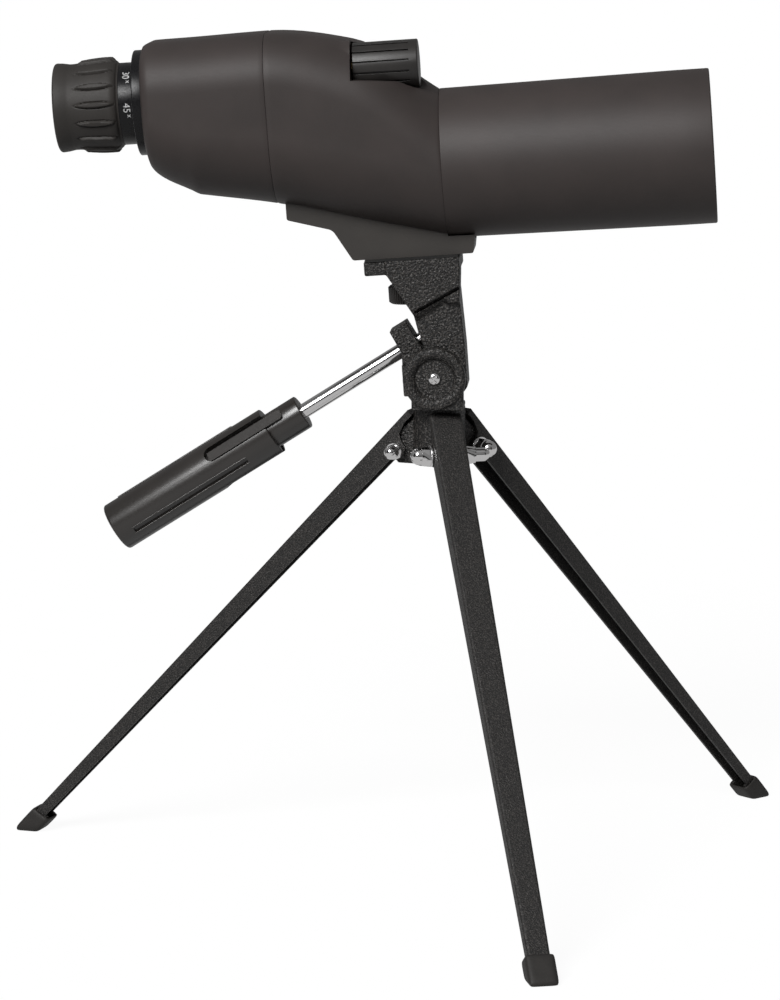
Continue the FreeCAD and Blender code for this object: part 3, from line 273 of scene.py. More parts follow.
def crinkleFinish(name, dark, light, cell, glintGrain, strength, distance, roughness):
    # wrinkled paint: rounded crests from the coarse bump; the fine grain is painted lighter on its crests as
    # painted glints and darker in its valleys as painted shade
    material, nodes, links, shader = newFinish(name, dark, roughness, specular=0.5)
    wobble = addNoise(nodes, links, cell * 0.8, 2)
    crests = nodes.new("ShaderNodeTexVoronoi")
    crests.feature = "SMOOTH_F1"
    crests.inputs["Scale"].default_value = cell
    crests.inputs["Smoothness"].default_value = 0.6
    coords = nodes.new("ShaderNodeTexCoord")
    shove = nodes.new("ShaderNodeVectorMath")
    shove.operation = "MULTIPLY_ADD"
    shove.inputs[1].default_value = (0.0012, 0.0012, 0.0012)
    links.new(wobble.outputs["Color"], shove.inputs[0])
    links.new(coords.outputs["Object"], shove.inputs[2])
    links.new(shove.outputs["Vector"], crests.inputs["Vector"])
    fine = addNoise(nodes, links, glintGrain, 3)
    # painted highlight: light specks where the fine bump stands high, painted shade where it sinks
    addRamp(nodes, links, fine.outputs["Fac"], [(0.48, dark), (0.64, light)], shader.inputs["Base Color"])
    addRamp(nodes, links, fine.outputs["Fac"], [(0.35, roughness + 0.12), (0.7, roughness - 0.1)],
            shader.inputs["Roughness"])
    coarse = addBump(nodes, links, crests.outputs["Distance"], strength, -distance, shader)
    addBump(nodes, links, fine.outputs["Fac"], strength * 0.5, distance * 0.4, shader, coarse)
    return material


def metalFinish(name, colour, roughness, haze, streak=None):
    material, nodes, links, shader = newFinish(name, colour, roughness, metallic=1.0)
    smudge = addNoise(nodes, links, 160, 4, streak)
    addRamp(nodes, links, smudge.outputs["Fac"], [(0.35, roughness), (0.75, roughness + haze)],
            shader.inputs["Roughness"])
    return material


def glassFinish(name, tint, coat):
    material, nodes, links, shader = newFinish(name, tint, 0.0)
    shader.inputs["Transmission Weight"].default_value = 1.0
    shader.inputs["IOR"].default_value = 1.52
    shader.inputs["Thin Film Thickness"].default_value = coat
    dust = addNoise(nodes, links, 900, 5)
    addRamp(nodes, links, dust.outputs["Fac"], [(0.6, 0.0), (0.85, 0.03)], shader.inputs["Roughness"])
    return material


finishes = {
    "soft_coat": grainyFinish("soft touch coat", (0.050, 0.0405, 0.038), (0.061, 0.049, 0.046), 0.56, 40,
                              3600, 0.35, 0.00006),
    "foot_plastic": grainyFinish("satin foot moulding", (0.050, 0.045, 0.041), (0.058, 0.052, 0.047), 0.5,
                                 60, 3000, 0.3, 0.00005),
    "gloss_ring": grainyFinish("gloss black ring", (0.008, 0.008, 0.009), (0.011, 0.011, 0.012), 0.3, 90,
                               1500, 0.06, 0.00003, 0.25),
    "eyecup_rubber": grainyFinish("eyecup rubber", (0.036, 0.032, 0.029), (0.046, 0.041, 0.037), 0.6, 70,
                                  3200, 0.4, 0.00006),
    "black_anodised": grainyFinish("matt black anodised", (0.012, 0.012, 0.013), (0.018, 0.018, 0.019),
                                   0.45, 120, 5000, 0.2, 0.00003),
    "inner_plastic": grainyFinish("flat black moulding", (0.010, 0.010, 0.010), (0.015, 0.015, 0.015), 0.75,
                                  80, 3500, 0.3, 0.00005),
    "seal_rubber": grainyFinish("thin sheet rubber", (0.012, 0.012, 0.012), (0.020, 0.019, 0.018), 0.8, 90,
                                2600, 0.4, 0.00006),
    "boot_rubber": grainyFinish("boot rubber", (0.020, 0.0180, 0.0165), (0.030, 0.0272, 0.0250), 0.62, 160,
                                2400, 0.5, 0.00010),
    "knob_plastic": grainyFinish("ribbed black moulding", (0.022, 0.020, 0.019), (0.032, 0.029, 0.027), 0.4,
                                 110, 3000, 0.3, 0.00005),
    "grip_plastic": grainyFinish("polished black moulding", (0.019, 0.0155, 0.0132),
                                 (0.024, 0.0198, 0.0170), 0.30, 60, 900, 0.03, 0.00003, 0.95, 0.02),
    # crinkle_paint and leg_paint: the second colour is the painted glint colour on the fine grain's crests,
    # the first the painted shade in its valleys
    "crinkle_paint": crinkleFinish("crinkle paint", (0.006, 0.0055, 0.0052), (0.090, 0.082, 0.076), 1150,
                                   1250, 1.0, 0.0004, 0.46),
    "leg_paint": crinkleFinish("leg powder coat", (0.010, 0.0094, 0.009), (0.066, 0.060, 0.056), 1900, 2000,
                               0.7, 0.00022, 0.48),
    "chrome_plate": metalFinish("chrome plate", (0.80, 0.79, 0.79), 0.10, 0.06),
    "steel": metalFinish("zinc plated steel", (0.56, 0.56, 0.57), 0.28, 0.15),
    "brass_thread": metalFinish("turned brass", (0.72, 0.52, 0.24), 0.25, 0.12),
    "lens_glass": glassFinish("coated lens glass", (0.92, 0.96, 0.98), 110.0),
    "prism_glass": glassFinish("prism glass", (0.95, 0.97, 0.96), 0.0),
}
whitePrint = grainyFinish("white print", (0.72, 0.72, 0.72), (0.82, 0.82, 0.82), 0.5, 400, 2500, 0.1, 0.00003)
for entry in frame["record"]["subparts"]:
    node = frame["nodes"][entry["node"]]
    node.data.materials.clear()
    node.data.materials.append(finishes[entry["material_slot"]])
print("finishes made")


def nodeCopy(name, place):
    # the CAD node's own skin, merged, in millimetres at the place given
    bm = bmesh.new()
    bm.from_mesh(frame["nodes"][name].data)
    bmesh.ops.remove_doubles(bm, verts=bm.verts[:], dist=0.00001)
    return placed(bm, place.inverted())


def radialMoves(bm, amount):
    # push each point in or out from the X axis by what amount(x, radius, angle) gives
    for vert in bm.verts:
        radius = math.hypot(vert.co.y, vert.co.z)
        if radius > 0.01:
            push = amount(vert.co.x, radius, math.degrees(math.atan2(vert.co.z, vert.co.y)))
            vert.co.y += vert.co.y / radius * push
            vert.co.z += vert.co.z / radius * push
    return bm


# Objective end
tube = {"rearR": 30.0, "frontR": 31.0, "wall": 1.8, "long": 108.0, "straight": 14.0, "hoodDeep": 20.0,
        "hoodR": 29.0, "lip": 0.7, "seam": 0.15}
tubeInside = tube["rearR"] - tube["wall"]
finishPiece("scope_tube", spun([
    (-tube["long"], tubeInside), (-tube["long"] + 0.1, tube["rearR"], tube["seam"]),
    (-tube["straight"], tube["frontR"], 2.0),
    (-0.02, tube["frontR"], tube["lip"]), (-0.02, tube["hoodR"], 0.5),
    (-tube["hoodDeep"], tube["hoodR"], 0.2),
    (-tube["hoodDeep"], tubeInside)], steps=160), scopePlace, "head", "soft_coat",
    ["objective_tube"], sharp=50)
hoodLining = spun([(-tube["hoodDeep"] + 0.05, tube["hoodR"] - 0.25),
                   (-tube["hoodDeep"] + 0.05, tube["hoodR"] - 0.03),
                   (-1.2, tube["hoodR"] - 0.03), (-1.2, tube["hoodR"] - 0.25)], steps=160)
finishPiece("hood_lining", hoodLining, scopePlace, "head", "inner_plastic", sharp=50)
print("tube made")

# Prism housing: rows are distance back, half width, bottom, top, top corner and bottom corner
housing = {
    "rows": [(108.0, 29.8, -29.8, 29.8, 29.3, 29.3), (142.0, 31.0, -20.6, 52.0, 24.0, 29.0),
             (175.6, 31.0, -11.5, 57.2, 20.0, 28.0), (203.5, 30.64, -6.26, 56.7, 20.0, 26.2),
             (206.5, 30.6, -5.7, 56.65, 20.0, 26.0), (209.5, 30.48, -4.01, 56.62, 20.0, 25.6),
             (221.8, 30.0, 2.9, 56.5, 20.0, 24.0), (224.6, 28.6, 6.6, 55.3, 18.6, 20.0),
             (225.5, 26.4, 10.6, 53.0, 16.4, 16.0)],
    "front": (108.0, 108.5, 109.5, 111, 114, 118, 122, 126, 130, 134, 138, 142, 146, 150, 154, 158, 162,
              166, 170, 173, 174.9, 175.5),
    "rear": (175.65, 176.2, 178, 182, 187, 192, 197, 201, 203.5, 205, 206.5, 208, 209.5, 213, 216, 218.5,
             220.5, 221.8, 222.8, 223.6, 224.2, 224.6, 225.0, 225.3, 225.5),
    "wall": 2.2, "roll": 0.15, "boreR": 15.25, "bore": (-228, -215), "segments": 12,
}


def rowAt(back):
    # smooth reading of the rows, with no overshoot
    rows = housing["rows"]
    i = max(k for k in range(len(rows) - 1) if rows[k][0] <= back + 0.0001)
    steps = [b[0] - a[0] for a, b in zip(rows, rows[1:])]
    span = steps[i]
    t = (back - rows[i][0]) / span
    result = [back]
    for column in range(1, 6):
        slopes = [(b[column] - a[column]) / step for a, b, step in zip(rows, rows[1:], steps)]

        def bend(k):
            if k == 0 or k == len(slopes):
                return slopes[min(k, len(slopes) - 1)]
            before, after = slopes[k - 1], slopes[k]
            return 2 * before * after / (before + after) if before * after > 0 else 0.0
        low, high = rows[i][column], rows[i + 1][column]
        result.append(low * (2 * t ** 3 - 3 * t ** 2 + 1) + high * (3 * t ** 2 - 2 * t ** 3)
                      + span * (bend(i) * (t ** 3 - 2 * t ** 2 + t) + bend(i + 1) * (t ** 3 - t ** 2)))
    return result


def housingSkin(stations, inset=0.0, rolled=()):
    bm = bmesh.new()
    for back in stations:
        first, last = housing["rows"][0][0], housing["rows"][-1][0]
        half, low, high, topSoft, lowSoft = rowAt(min(max(back, first), last))[1:]
        tuck = inset + (housing["roll"] if back in rolled else 0.0)
        w, b, t = half - tuck, low + tuck, high - tuck
        corners = [(-w, b, lowSoft - tuck), (-w, t, topSoft - tuck), (w, t, topSoft - tuck),
                   (w, b, lowSoft - tuck)]
        verts = [bm.verts.new((-back, corner[0], corner[1])) for corner in corners]
        bm.faces.new(verts)
        softenCorners(bm, corners, verts, housing["segments"])
    rings = []
    for back in stations:
        rings.append([edge for edge in bm.edges if all(abs(v.co.x + back) < 0.001 for v in edge.verts)])
    ends = [face for face in bm.faces if min(abs(face.verts[0].co.x + stations[0]),
                                             abs(face.verts[0].co.x + stations[-1])) > 0.001]
    bmesh.ops.delete(bm, geom=ends, context="FACES_ONLY")
    for first, second in zip(rings, rings[1:]):
        bmesh.ops.bridge_loops(bm, edges=first + second)
    bmesh.ops.recalc_face_normals(bm, faces=bm.faces[:])
    return bm


focus = {"radius": 9.7, "rear": 140.8, "front": 114.8, "room": 0.7, "wall": 1.9, "screwR": 2.55,
         "screwHole": (-177, -120), "fairingR": 7.8, "fairingRear": -173, "fairingProud": 1.15, "boreR": 2.6,
         "ledge": [(-141.5, -4.3), (-124, -6.1), (-114.8, -9.2), (-104, -9.2)]}


def knobNiche(wall):
    rear = -focus["rear"] - focus["room"] - wall
    up = layout["focusUp"]
    bore = rod(focus["radius"] + focus["room"] + wall, rear, -102, "X", (0, layout["focusSide"], up), 96)
    ledge = [(rear, up + focus["ledge"][0][1] - wall)] + [(x, up + z - wall) for x, z in focus["ledge"][1:]]
    side = plate(ledge + [(-104, up + 20), (rear, up + 20)], -40, layout["focusSide"] + 0.013)
    return combined(bore, [side], "UNION")


focusAxis = (0, layout["focusSide"], layout["focusUp"])
frontInner = (106.0,) + housing["front"][3:-2] + (175.2, 178.0)
frontShell = combined(housingSkin(housing["front"], rolled=(108.0, 175.5)),
                      [housingSkin(frontInner, housing["wall"])])
saddle = combined(housingSkin(housing["front"], rolled=(108.0, 175.5)), [knobNiche(focus["wall"])],
                  "INTERSECT")
frontShell = combined(frontShell, [saddle], "UNION")
fairing = rod(focus["fairingR"], focus["fairingRear"], -focus["rear"] - focus["room"] - 0.05, "X",
              focusAxis, 96, tip=focus["radius"] + focus["fairingProud"])
fairing = combined(fairing, [housingSkin(frontInner, housing["wall"])])
frontShell = combined(frontShell, [fairing], "UNION")
frontShell = combined(frontShell, [knobNiche(0.0), rod(focus["screwR"], *focus["screwHole"], "X", focusAxis)])
finishPiece("prism_housing_front", frontShell, scopePlace, "head", "soft_coat",
            ["front_shell"], sharp=38)
rearInner = (173.0,) + housing["rear"][1:18] + (222.4,)
rearShell = combined(housingSkin(housing["rear"], rolled=(175.65,)),
                     [housingSkin(rearInner, housing["wall"]),
                      rod(housing["boreR"], *housing["bore"], "X", (0, 0, layout["eyeUp"]), 96)])
finishPiece("prism_housing_rear", rearShell, scopePlace, "head", "soft_coat",
            ["rear_cover"], sharp=38)
print("housing made")

# Focus knob: flat ribs with thin grooves, a plain collar at its front
ribs = {"count": 14, "grooveWide": 0.85, "grooveDeep": 0.95, "collar": 3.6}
knobBody = spun([
    (-focus["rear"], focus["boreR"]), (-focus["rear"], focus["radius"], 0.35),
    (-focus["front"], focus["radius"], 0.5),
    (-focus["front"], 0.001), (-focus["front"] - 3, 0.001), (-focus["front"] - 3, focus["boreR"])], steps=112)
grooves = []
for i in range(ribs["count"]):
    groove = plate([(-focus["rear"] - 1, focus["radius"] - ribs["grooveDeep"]),
                    (-focus["front"] - ribs["collar"], focus["radius"] - ribs["grooveDeep"], 0.3),
                    (-focus["front"] - ribs["collar"], focus["radius"] + 1),
                    (-focus["rear"] - 1, focus["radius"] + 1)],
                   -ribs["grooveWide"] / 2, ribs["grooveWide"] / 2)
    grooves.append(placed(groove, turned(360 / ribs["count"] * i, "X")))
finishPiece("focus_knob_ribbed", combined(knobBody, grooves), focusPlace, "focus_drive",
            "knob_plastic", ["focus_knob"], edge=0.12, segments=2)

# Eyepiece
eyepiece = {"flangeR": 21.15, "flangeFront": 225.55, "flangeRear": 229.8, "numberR": 16.5,
            "numberFront": 227.9, "numberRear": 235.8, "sleeveR": 15.4, "cupRear": 262.3, "mouthR": 15.6,
            "bowlR": 11.6, "bowlAt": 256.3,
            "ribs": 15, "ribLong": 16.0, "ribMiddle": 245.3, "ribWide": 2.5, "ribProud": 1.0, "ribTurn": 4.5,
            "waistR": 17.25, "swell": 1.05, "swellStep": 0.55}
finishPiece("eyepiece_collar", spun([
    (-221.5, 13.0), (-221.5, 15.15), (-eyepiece["flangeFront"], 15.15),
    (-eyepiece["flangeFront"], eyepiece["flangeR"], 0.35),
    (-eyepiece["flangeRear"], eyepiece["flangeR"], 0.4),
    (-eyepiece["flangeRear"], eyepiece["numberR"] + 0.3, 0.2),
    (-eyepiece["numberFront"] + 0.3, eyepiece["numberR"] + 0.3), (-eyepiece["numberFront"] + 0.3, 13.0)],
    steps=128),
    eyePlace, "head", "gloss_ring", ["eyepiece_flange"], sharp=50)
finishPiece("collar_bright_line", spun([
    (-eyepiece["flangeRear"] - 0.04, 20.1), (-eyepiece["flangeRear"] - 0.04, 20.75, 0.1),
    (-eyepiece["flangeRear"] + 0.3, 20.75), (-eyepiece["flangeRear"] + 0.3, 20.1)], steps=128),
    eyePlace, "head", "chrome_plate", sharp=50)
finishPiece("zoom_scale_ring", spun([
    (-eyepiece["numberRear"], eyepiece["sleeveR"]), (-eyepiece["numberRear"], eyepiece["numberR"], 0.2),
    (-eyepiece["numberFront"], eyepiece["numberR"], 0.2), (-eyepiece["numberFront"], 13.7), (-234.2, 13.7),
    (-234.2, eyepiece["sleeveR"])], steps=128), eyePlace, "zoom", "gloss_ring",
    ["number_ring"], sharp=50)


def numeral(text, size):
    curve = bpy.data.curves.new(text, "FONT")
    curve.body = text
    curve.size = size
    curve.extrude = 0.03
    curve.align_x = "CENTER"
    curve.align_y = "CENTER"
    holder = bpy.data.objects.new(text, curve)
    bpy.context.scene.collection.objects.link(holder)
    bm = settled(holder)
    bmesh.ops.remove_doubles(bm, verts=bm.verts[:], dist=0.0005)
    return bm


def wrapped(bm, radius, middle, angle):
    # lay flat print round the ring, its tops towards the front
    for vert in bm.verts:
        turn = math.radians(angle) + vert.co.x / radius
        lift = radius + vert.co.z
        vert.co = Vector((middle + vert.co.y, -lift * math.cos(turn), -lift * math.sin(turn)))
    return bm


figures = {"size": 4.0, "stroke": {"15": -96.5, "30": -47.0, "45": 2.5}, "middle": -232.6, "cross": 2.8}
printed = []
for text, angle in figures["stroke"].items():
    printed.append(wrapped(numeral(text, figures["size"]), eyepiece["numberR"], figures["middle"], angle))
    printed.append(wrapped(numeral("x", figures["cross"]), eyepiece["numberR"], figures["middle"] + 1.0,
                          angle + 11.5))
finishPiece("zoom_figures", together(*printed), eyePlace, "zoom", "gloss_ring", sharp=30, material=whitePrint)


def almond(x, radius, angle):
    # raised almond ribs, each in a thin groove
    if radius < 16.6 or not -eyepiece["ribMiddle"] - 10 < x < -eyepiece["ribMiddle"] + 10:
        return 0.0
    pitch = 360 / eyepiece["ribs"]
    offset = (angle + 180 + eyepiece["ribTurn"] + pitch / 2) % pitch - pitch / 2
    across = abs(math.radians(offset) * radius)
    reach = 1 - ((x + eyepiece["ribMiddle"]) / (eyepiece["ribLong"] / 2)) ** 2
    half = eyepiece["ribWide"] / 2 * max(reach, 0) ** 0.6
    if half > 0.15 and across < half:
        return eyepiece["ribProud"] * min(1.0, (half - across) / 0.45) * min(1.0, reach * 3)
    edge = (across - half) / 0.3
    return -0.4 if reach > -0.05 and edge < 1 else 0.0


def swellAt(along):
    # the sleeve's radius as it rises from its waist to its peak
    share = max(0.0, min(1.0, (along - 1.5) / 13.5))
    return eyepiece["waistR"] + eyepiece["swell"] * math.sin(share * math.pi / 2) ** 1.2


gripProfile = [(-eyepiece["cupRear"], eyepiece["mouthR"], 0.8), (-eyepiece["cupRear"], 18.0, 1.2),
               (-259, 17.75), (-257, 17.4)]
gripProfile += [(-256.2 + eyepiece["swellStep"] * i, swellAt(eyepiece["swellStep"] * i)) for i in range(31)]
gripProfile += [(-239.0, 18.25), (-238.0, 18.0), (-236.9, 17.3, 0.4), (-236.5, 16.6), (-235.85, 16.5),
                (-235.85, 15.45), (-254.0, 15.45), (-254.0, 13.3), (-eyepiece["bowlAt"], 13.3),
                (-eyepiece["bowlAt"], eyepiece["bowlR"], 0.4)]
finishPiece("eyecup_ribbed", radialMoves(spun(gripProfile, steps=420), almond), eyePlace, "zoom",
            "eyecup_rubber", ["eyecup_grip"], sharp=60)
print("eyepiece made")

# Scope foot
foot = {"half": 12.0, "floor": 49.3 - layout["axisAbove"], "insertR": 5.0, "insertTop": 8, "threadR": 3.5,
        "threadTop": 12, "tubeRearR": 30.8, "tubeFrontR": 31.8, "frontRise": 6.7, "edge": 0.45,
        "insertAt": layout["studBack"] - layout["rimAhead"]}
footBlock = plate([
    (-172.2, -9), (-172.2, -17.9, 0.8), (-154.1, -23.1, 1.5), (-146.7, foot["floor"], 0.8),
    (-98.3, foot["floor"], 0.6), (-97.2, foot["floor"] + foot["frontRise"], 0.6), (-97.2, -26),
    (-119.2, -22)], -foot["half"], foot["half"])
tubeClear = rod(foot["tubeRearR"], -tube["long"], -tube["straight"], "X", segments=160,
                tip=foot["tubeFrontR"])
footBlock = combined(footBlock, [housingSkin(housing["front"]), tubeClear,
                                 rod(foot["insertR"], foot["floor"] - 1, foot["floor"] + foot["insertTop"],
                                     "Z", (foot["insertAt"], 0, 0)),
                                 rod(foot["threadR"], foot["floor"] - 1, foot["floor"] + foot["threadTop"],
                                     "Z", (foot["insertAt"], 0, 0))])
finishPiece("foot_block", footBlock, scopePlace, "head", "foot_plastic",
            ["scope_foot"], edge=foot["edge"], sharp=40)

# Castings: the CAD's shape, with every edge rounded as sand casting and thick paint leave it
castings = {
    "headGrain": 0.42, "neckGrain": 0.36, "hubGrain": 0.36, "smoothing": 4,
    "bootGrain": 0.4, "bootSmoothing": 70,
    "step": [(-7.1, 27.0), (12.3, 36.2), (11.2, 32.3), (-5.6, 23.2)], "stepFace": -15.9, "stepRoot": -12.0,
    "stepRamp": -12.4, "stepSlope": 0.5417,
    "crease": [(-6.4, 27.6), (12.6, 36.8), (13.1, 35.7), (-5.9, 26.5)], "creaseFloor": -12.6,
    "setBack": [(-26.2, 36), (-16.6, 36), (-16.6, 60), (-26.2, 60)], "setBackFloor": -15.1,
    "rim": [(-15.2, 8.2), (-17.6, 8.6, 0.6), (-18.4, 10.6, 0.8), (-17.8, 12.6, 0.7), (-15.2, 12.8)],
}
step = plate(castings["step"], castings["stepFace"], castings["stepRoot"])
stepLowX, stepLowZ = castings["step"][-1]
for vert in step.verts:
    belowRamp = vert.co.z - stepLowZ < (vert.co.x - stepLowX) * castings["stepSlope"] + 0.5
    if vert.co.y < -15 and belowRamp:
        vert.co.y = castings["stepRamp"]
crease = plate(castings["crease"], -17.5, castings["creaseFloor"])
setBack = plate(castings["setBack"], -19, castings["setBackFloor"])
headSkin = combined(nodeCopy("head_casting", headPlace), [step], "UNION")
headSkin = combined(headSkin, [crease, setBack])
finishPiece("head_cast", cast(headSkin, castings["headGrain"], castings["smoothing"]), headPlace, "head",
            "crinkle_paint", ["head_casting"], sharp=70)
rim = spun(castings["rim"], steps=96)
neckSkin = combined(nodeCopy("neck_casting", tiltPlace), [placed(rim, turned(90, "Z"))], "UNION")
finishPiece("neck_cast", cast(neckSkin, castings["neckGrain"], castings["smoothing"]), tiltPlace, "neck",
            "crinkle_paint", ["neck_casting"], sharp=70)
hubSkin = nodeCopy("hub_casting", standPlace)
finishPiece("hub_cast", cast(hubSkin, castings["hubGrain"], castings["smoothing"]), standPlace, "hub",
            "crinkle_paint", ["hub_casting"], sharp=70)
for leg, place in legPlaces.items():
    boot = cast(nodeCopy(f"rubber_foot_{leg}", place), castings["bootGrain"], castings["bootSmoothing"])
    finishPiece(f"boot_{leg}", boot, place, f"leg_{leg}", "boot_rubber", [f"rubber_foot_{leg}"], sharp=70)
print("castings made")

# Leg fasteners
fastener = {"half": 6.62, "washer": 0.8, "washerR": 4.5, "boltR": 2.0, "nutR": 4.25, "nutHex": 3.7,
            "nutHigh": 8.0, "headR": 3.8, "headHex": 4.6, "headHigh": 10.8, "domeR": 2.8, "nutDomeR": 3.5,
            "coneFoot": 1.09, "coneTip": 0.885}


def hexBlock(radius, low, high):
    # six flats with their outer corners turned off by a cone
    block = rod(radius, low, high, "Y", segments=6)
    turnedOff = rod(radius * fastener["coneFoot"], low, high, "Y", segments=64,
                    tip=radius * fastener["coneTip"])
    return combined(block, [turnedOff], "INTERSECT")


def domed(radius, base, top):
    # a turned dome that stands on base and peaks at top, along +Y
    profile = [(base, 0.001), (base, radius)]
    centre = top - radius
    profile += [(centre + radius * math.sin(math.radians(a)), max(0.001, radius * math.cos(math.radians(a))))
                for a in range(0, 91, 9)]
    return placed(spun(profile, steps=64), turned(90, "Z"))


bolts, nuts, washers = [], [], []
for leg, place in legPlaces.items():
    start = fastener["half"]
    bolt = together(rod(fastener["boltR"], -start - 5.4, start + 0.1, "Y"),
                    hexBlock(fastener["headR"], start, start + fastener["headHex"]),
                    domed(fastener["domeR"], start + 1, start + fastener["headHigh"]))
    bolts.append(placed(bolt, place))
    back = start + fastener["washer"]
    nut = together(hexBlock(fastener["nutR"], back, back + fastener["nutHex"]),
                   domed(fastener["nutDomeR"], back + 2.2, back + fastener["nutHigh"]))
    nuts.append(placed(nut, place @ turned(180, "X")))
    washer = placed(spun([(start, 2.05), (start, fastener["washerR"], 0.2),
                          (back, fastener["washerR"], 0.2), (back, 2.05)],
                         steps=64), turned(90, "Z"))
    washers.append(placed(washer, place @ turned(180, "X")))
finishPiece("leg_bolt_set", together(*bolts), Matrix.Identity(4), "hub", "chrome_plate",
            ["leg_bolts"], sharp=40)
finishPiece("acorn_nut_set", together(*nuts), Matrix.Identity(4), "hub", "chrome_plate",
            ["acorn_nuts"], sharp=40)
finishPiece("leg_washer_set", together(*washers), Matrix.Identity(4), "hub", "chrome_plate",
            ["leg_washers"], sharp=40)

# Tilt screw: a low domed head with a cross recess
screw = {"headR": 2.55, "floor": -15.8, "headHigh": 1.7, "crossWide": 0.75, "crossDeep": 1.1, "shankR": 1.6,
         "crossTurns": (38, 128), "crossHalf": 1.75, "crossRound": 0.25, "shankEnd": 11.8}
screwHead = spun([(screw["floor"], 0.001), (screw["floor"], screw["headR"]),
                  (screw["floor"] - 0.7, screw["headR"], 0.35),
                  (screw["floor"] - 1.35, screw["headR"] * 0.72, 0.5),
                  (screw["floor"] - screw["headHigh"], 0.001)], steps=64)
screwHead = placed(screwHead, turned(90, "Z"))
cross = []
for angle in screw["crossTurns"]:
    bar = plate([(-screw["crossHalf"], -screw["crossWide"] / 2, screw["crossRound"]),
                 (screw["crossHalf"], -screw["crossWide"] / 2, screw["crossRound"]),
                 (screw["crossHalf"], screw["crossWide"] / 2, screw["crossRound"]),
                 (-screw["crossHalf"], screw["crossWide"] / 2, screw["crossRound"])],
                screw["floor"] - screw["headHigh"] - 1,
                screw["floor"] - screw["headHigh"] + screw["crossDeep"])
    cross.append(placed(bar, turned(angle, "Y")))
screwHead = combined(screwHead, cross)
shank = rod(screw["shankR"], screw["floor"] + 0.02, screw["shankEnd"], "Y")
finishPiece("tilt_screw_cross", together(screwHead, shank), tiltPlace, "neck", "chrome_plate",
            ["tilt_screw"], edge=0.06, segments=2)

# Camera knob: a knurled disc on a plain boss
knurl = {"radius": 10.8, "low": 29.9, "high": 37.2, "bossR": 5.0, "seat": 42.0, "deep": 0.65, "turn": 1.5,
         "proud": 0.2}
knobDisc = spun([(knurl["low"], 0.001), (knurl["low"], knurl["radius"] - 0.9),
                 (knurl["low"] + 0.7, knurl["radius"]),
                 (knurl["high"] - 0.7, knurl["radius"]), (knurl["high"], knurl["radius"] - 0.9),
                 (knurl["high"], knurl["bossR"], 0.4), (knurl["seat"], knurl["bossR"], 0.3),
                 (knurl["seat"], 3.1),
                 (knurl["low"] + 1, 3.1), (knurl["low"] + 1, 0.001)], steps=240, axis="Z")
for vert in knobDisc.verts:
    radius = math.hypot(vert.co.x, vert.co.y)
    tooth = round(math.degrees(math.atan2(vert.co.y, vert.co.x)) / knurl["turn"]) % 4
    if radius > knurl["radius"] - knurl["proud"] and tooth in (0, 1):
        vert.co.x *= 1 - knurl["deep"] / radius
        vert.co.y *= 1 - knurl["deep"] / radius
finishPiece("camera_knob_knurled", knobDisc, studPlace, "stud", "knob_plastic",
            ["camera_knob"], sharp=28)
print("fasteners made")

# Pan handle
handle = {"rodR": 3.0, "threadR": 2.5, "shoulder": -7.05, "threadEnd": 13.0, "front": -54.3, "step": -69.4,
          "end": -145.4, "coreR": 6.8, "petalR": 10.2, "slotEnd": -97.6, "slotWide": 6.8, "slotTurn": 54.0,
          "grooveFrom": -83.0, "grooveTo": -138.0, "grooveWide": 2.4, "grooveDeep": 1.0, "collarR": 7.2,
          "beadR": 0.42, "rodEnd": -93.0, "boreEnd": -94.6, "coreEnd": -138.0, "shellFloor": -137.0,
          "tabHalf": 2.1, "tabRound": 1.4, "tabReach": 7.2, "tabTop": 1.7}
finishPiece("handle_rod_polished", spun([
    (handle["rodEnd"], 0.001), (handle["rodEnd"], handle["rodR"]), (handle["shoulder"], handle["rodR"], 0.3),
    (handle["shoulder"], handle["threadR"]), (handle["threadEnd"], handle["threadR"], 0.4),
    (handle["threadEnd"], 0.001)], steps=96),
    clampPlace, "handle", "chrome_plate", ["handle_rod"], sharp=50)
gripCore = spun([
    (handle["front"], handle["rodR"] + 0.02), (handle["front"], handle["collarR"], 0.6),
    (handle["step"] - 1, handle["collarR"]), (handle["step"] - 1.2, handle["coreR"]),
    (handle["coreEnd"], handle["coreR"]), (handle["coreEnd"], 0.001),
    (handle["boreEnd"], 0.001), (handle["boreEnd"], handle["rodR"] + 0.02)], steps=128)
gripShell = spun([
    (handle["step"], handle["coreR"] - 0.6), (handle["step"], handle["petalR"], 0.5),
    (handle["end"], handle["petalR"], 1.0), (handle["end"], 0.001),
    (handle["shellFloor"], 0.001), (handle["shellFloor"], handle["coreR"] - 0.6)], steps=160)
cutters, beads = [], []
half = handle["slotWide"] / 2
for i in range(3):
    slot = plate([(handle["step"] + 2, -half), (handle["slotEnd"], -half, half - 0.05),
                  (handle["slotEnd"], half, half - 0.05), (handle["step"] + 2, half)],
                 handle["coreR"] - 0.02, handle["petalR"] + 3, "XY")
    cutters.append(placed(slot, turned(handle["slotTurn"] + 120 * i, "X")))
    gutter = plate([(handle["grooveTo"], -handle["grooveWide"] / 2, 0.9),
                    (handle["grooveFrom"], -handle["grooveWide"] / 2, 0.9),
                    (handle["grooveFrom"], handle["grooveWide"] / 2, 0.9),
                    (handle["grooveTo"], handle["grooveWide"] / 2, 0.9)],
                   handle["petalR"] - handle["grooveDeep"], handle["petalR"] + 2, "XY")
    cutters.append(placed(gutter, turned(handle["slotTurn"] + 60 + 120 * i, "X")))
    for side in (-1, 1):
        bead = rod(handle["beadR"], handle["grooveTo"], handle["grooveFrom"], "X",
                   (0, side * handle["grooveWide"] * 0.62, handle["petalR"] - 0.1), 24)
        beads.append(placed(bead, turned(handle["slotTurn"] + 60 + 120 * i, "X")))
gripShell = combined(gripShell, cutters)
gripShell = combined(gripShell, beads, "UNION")
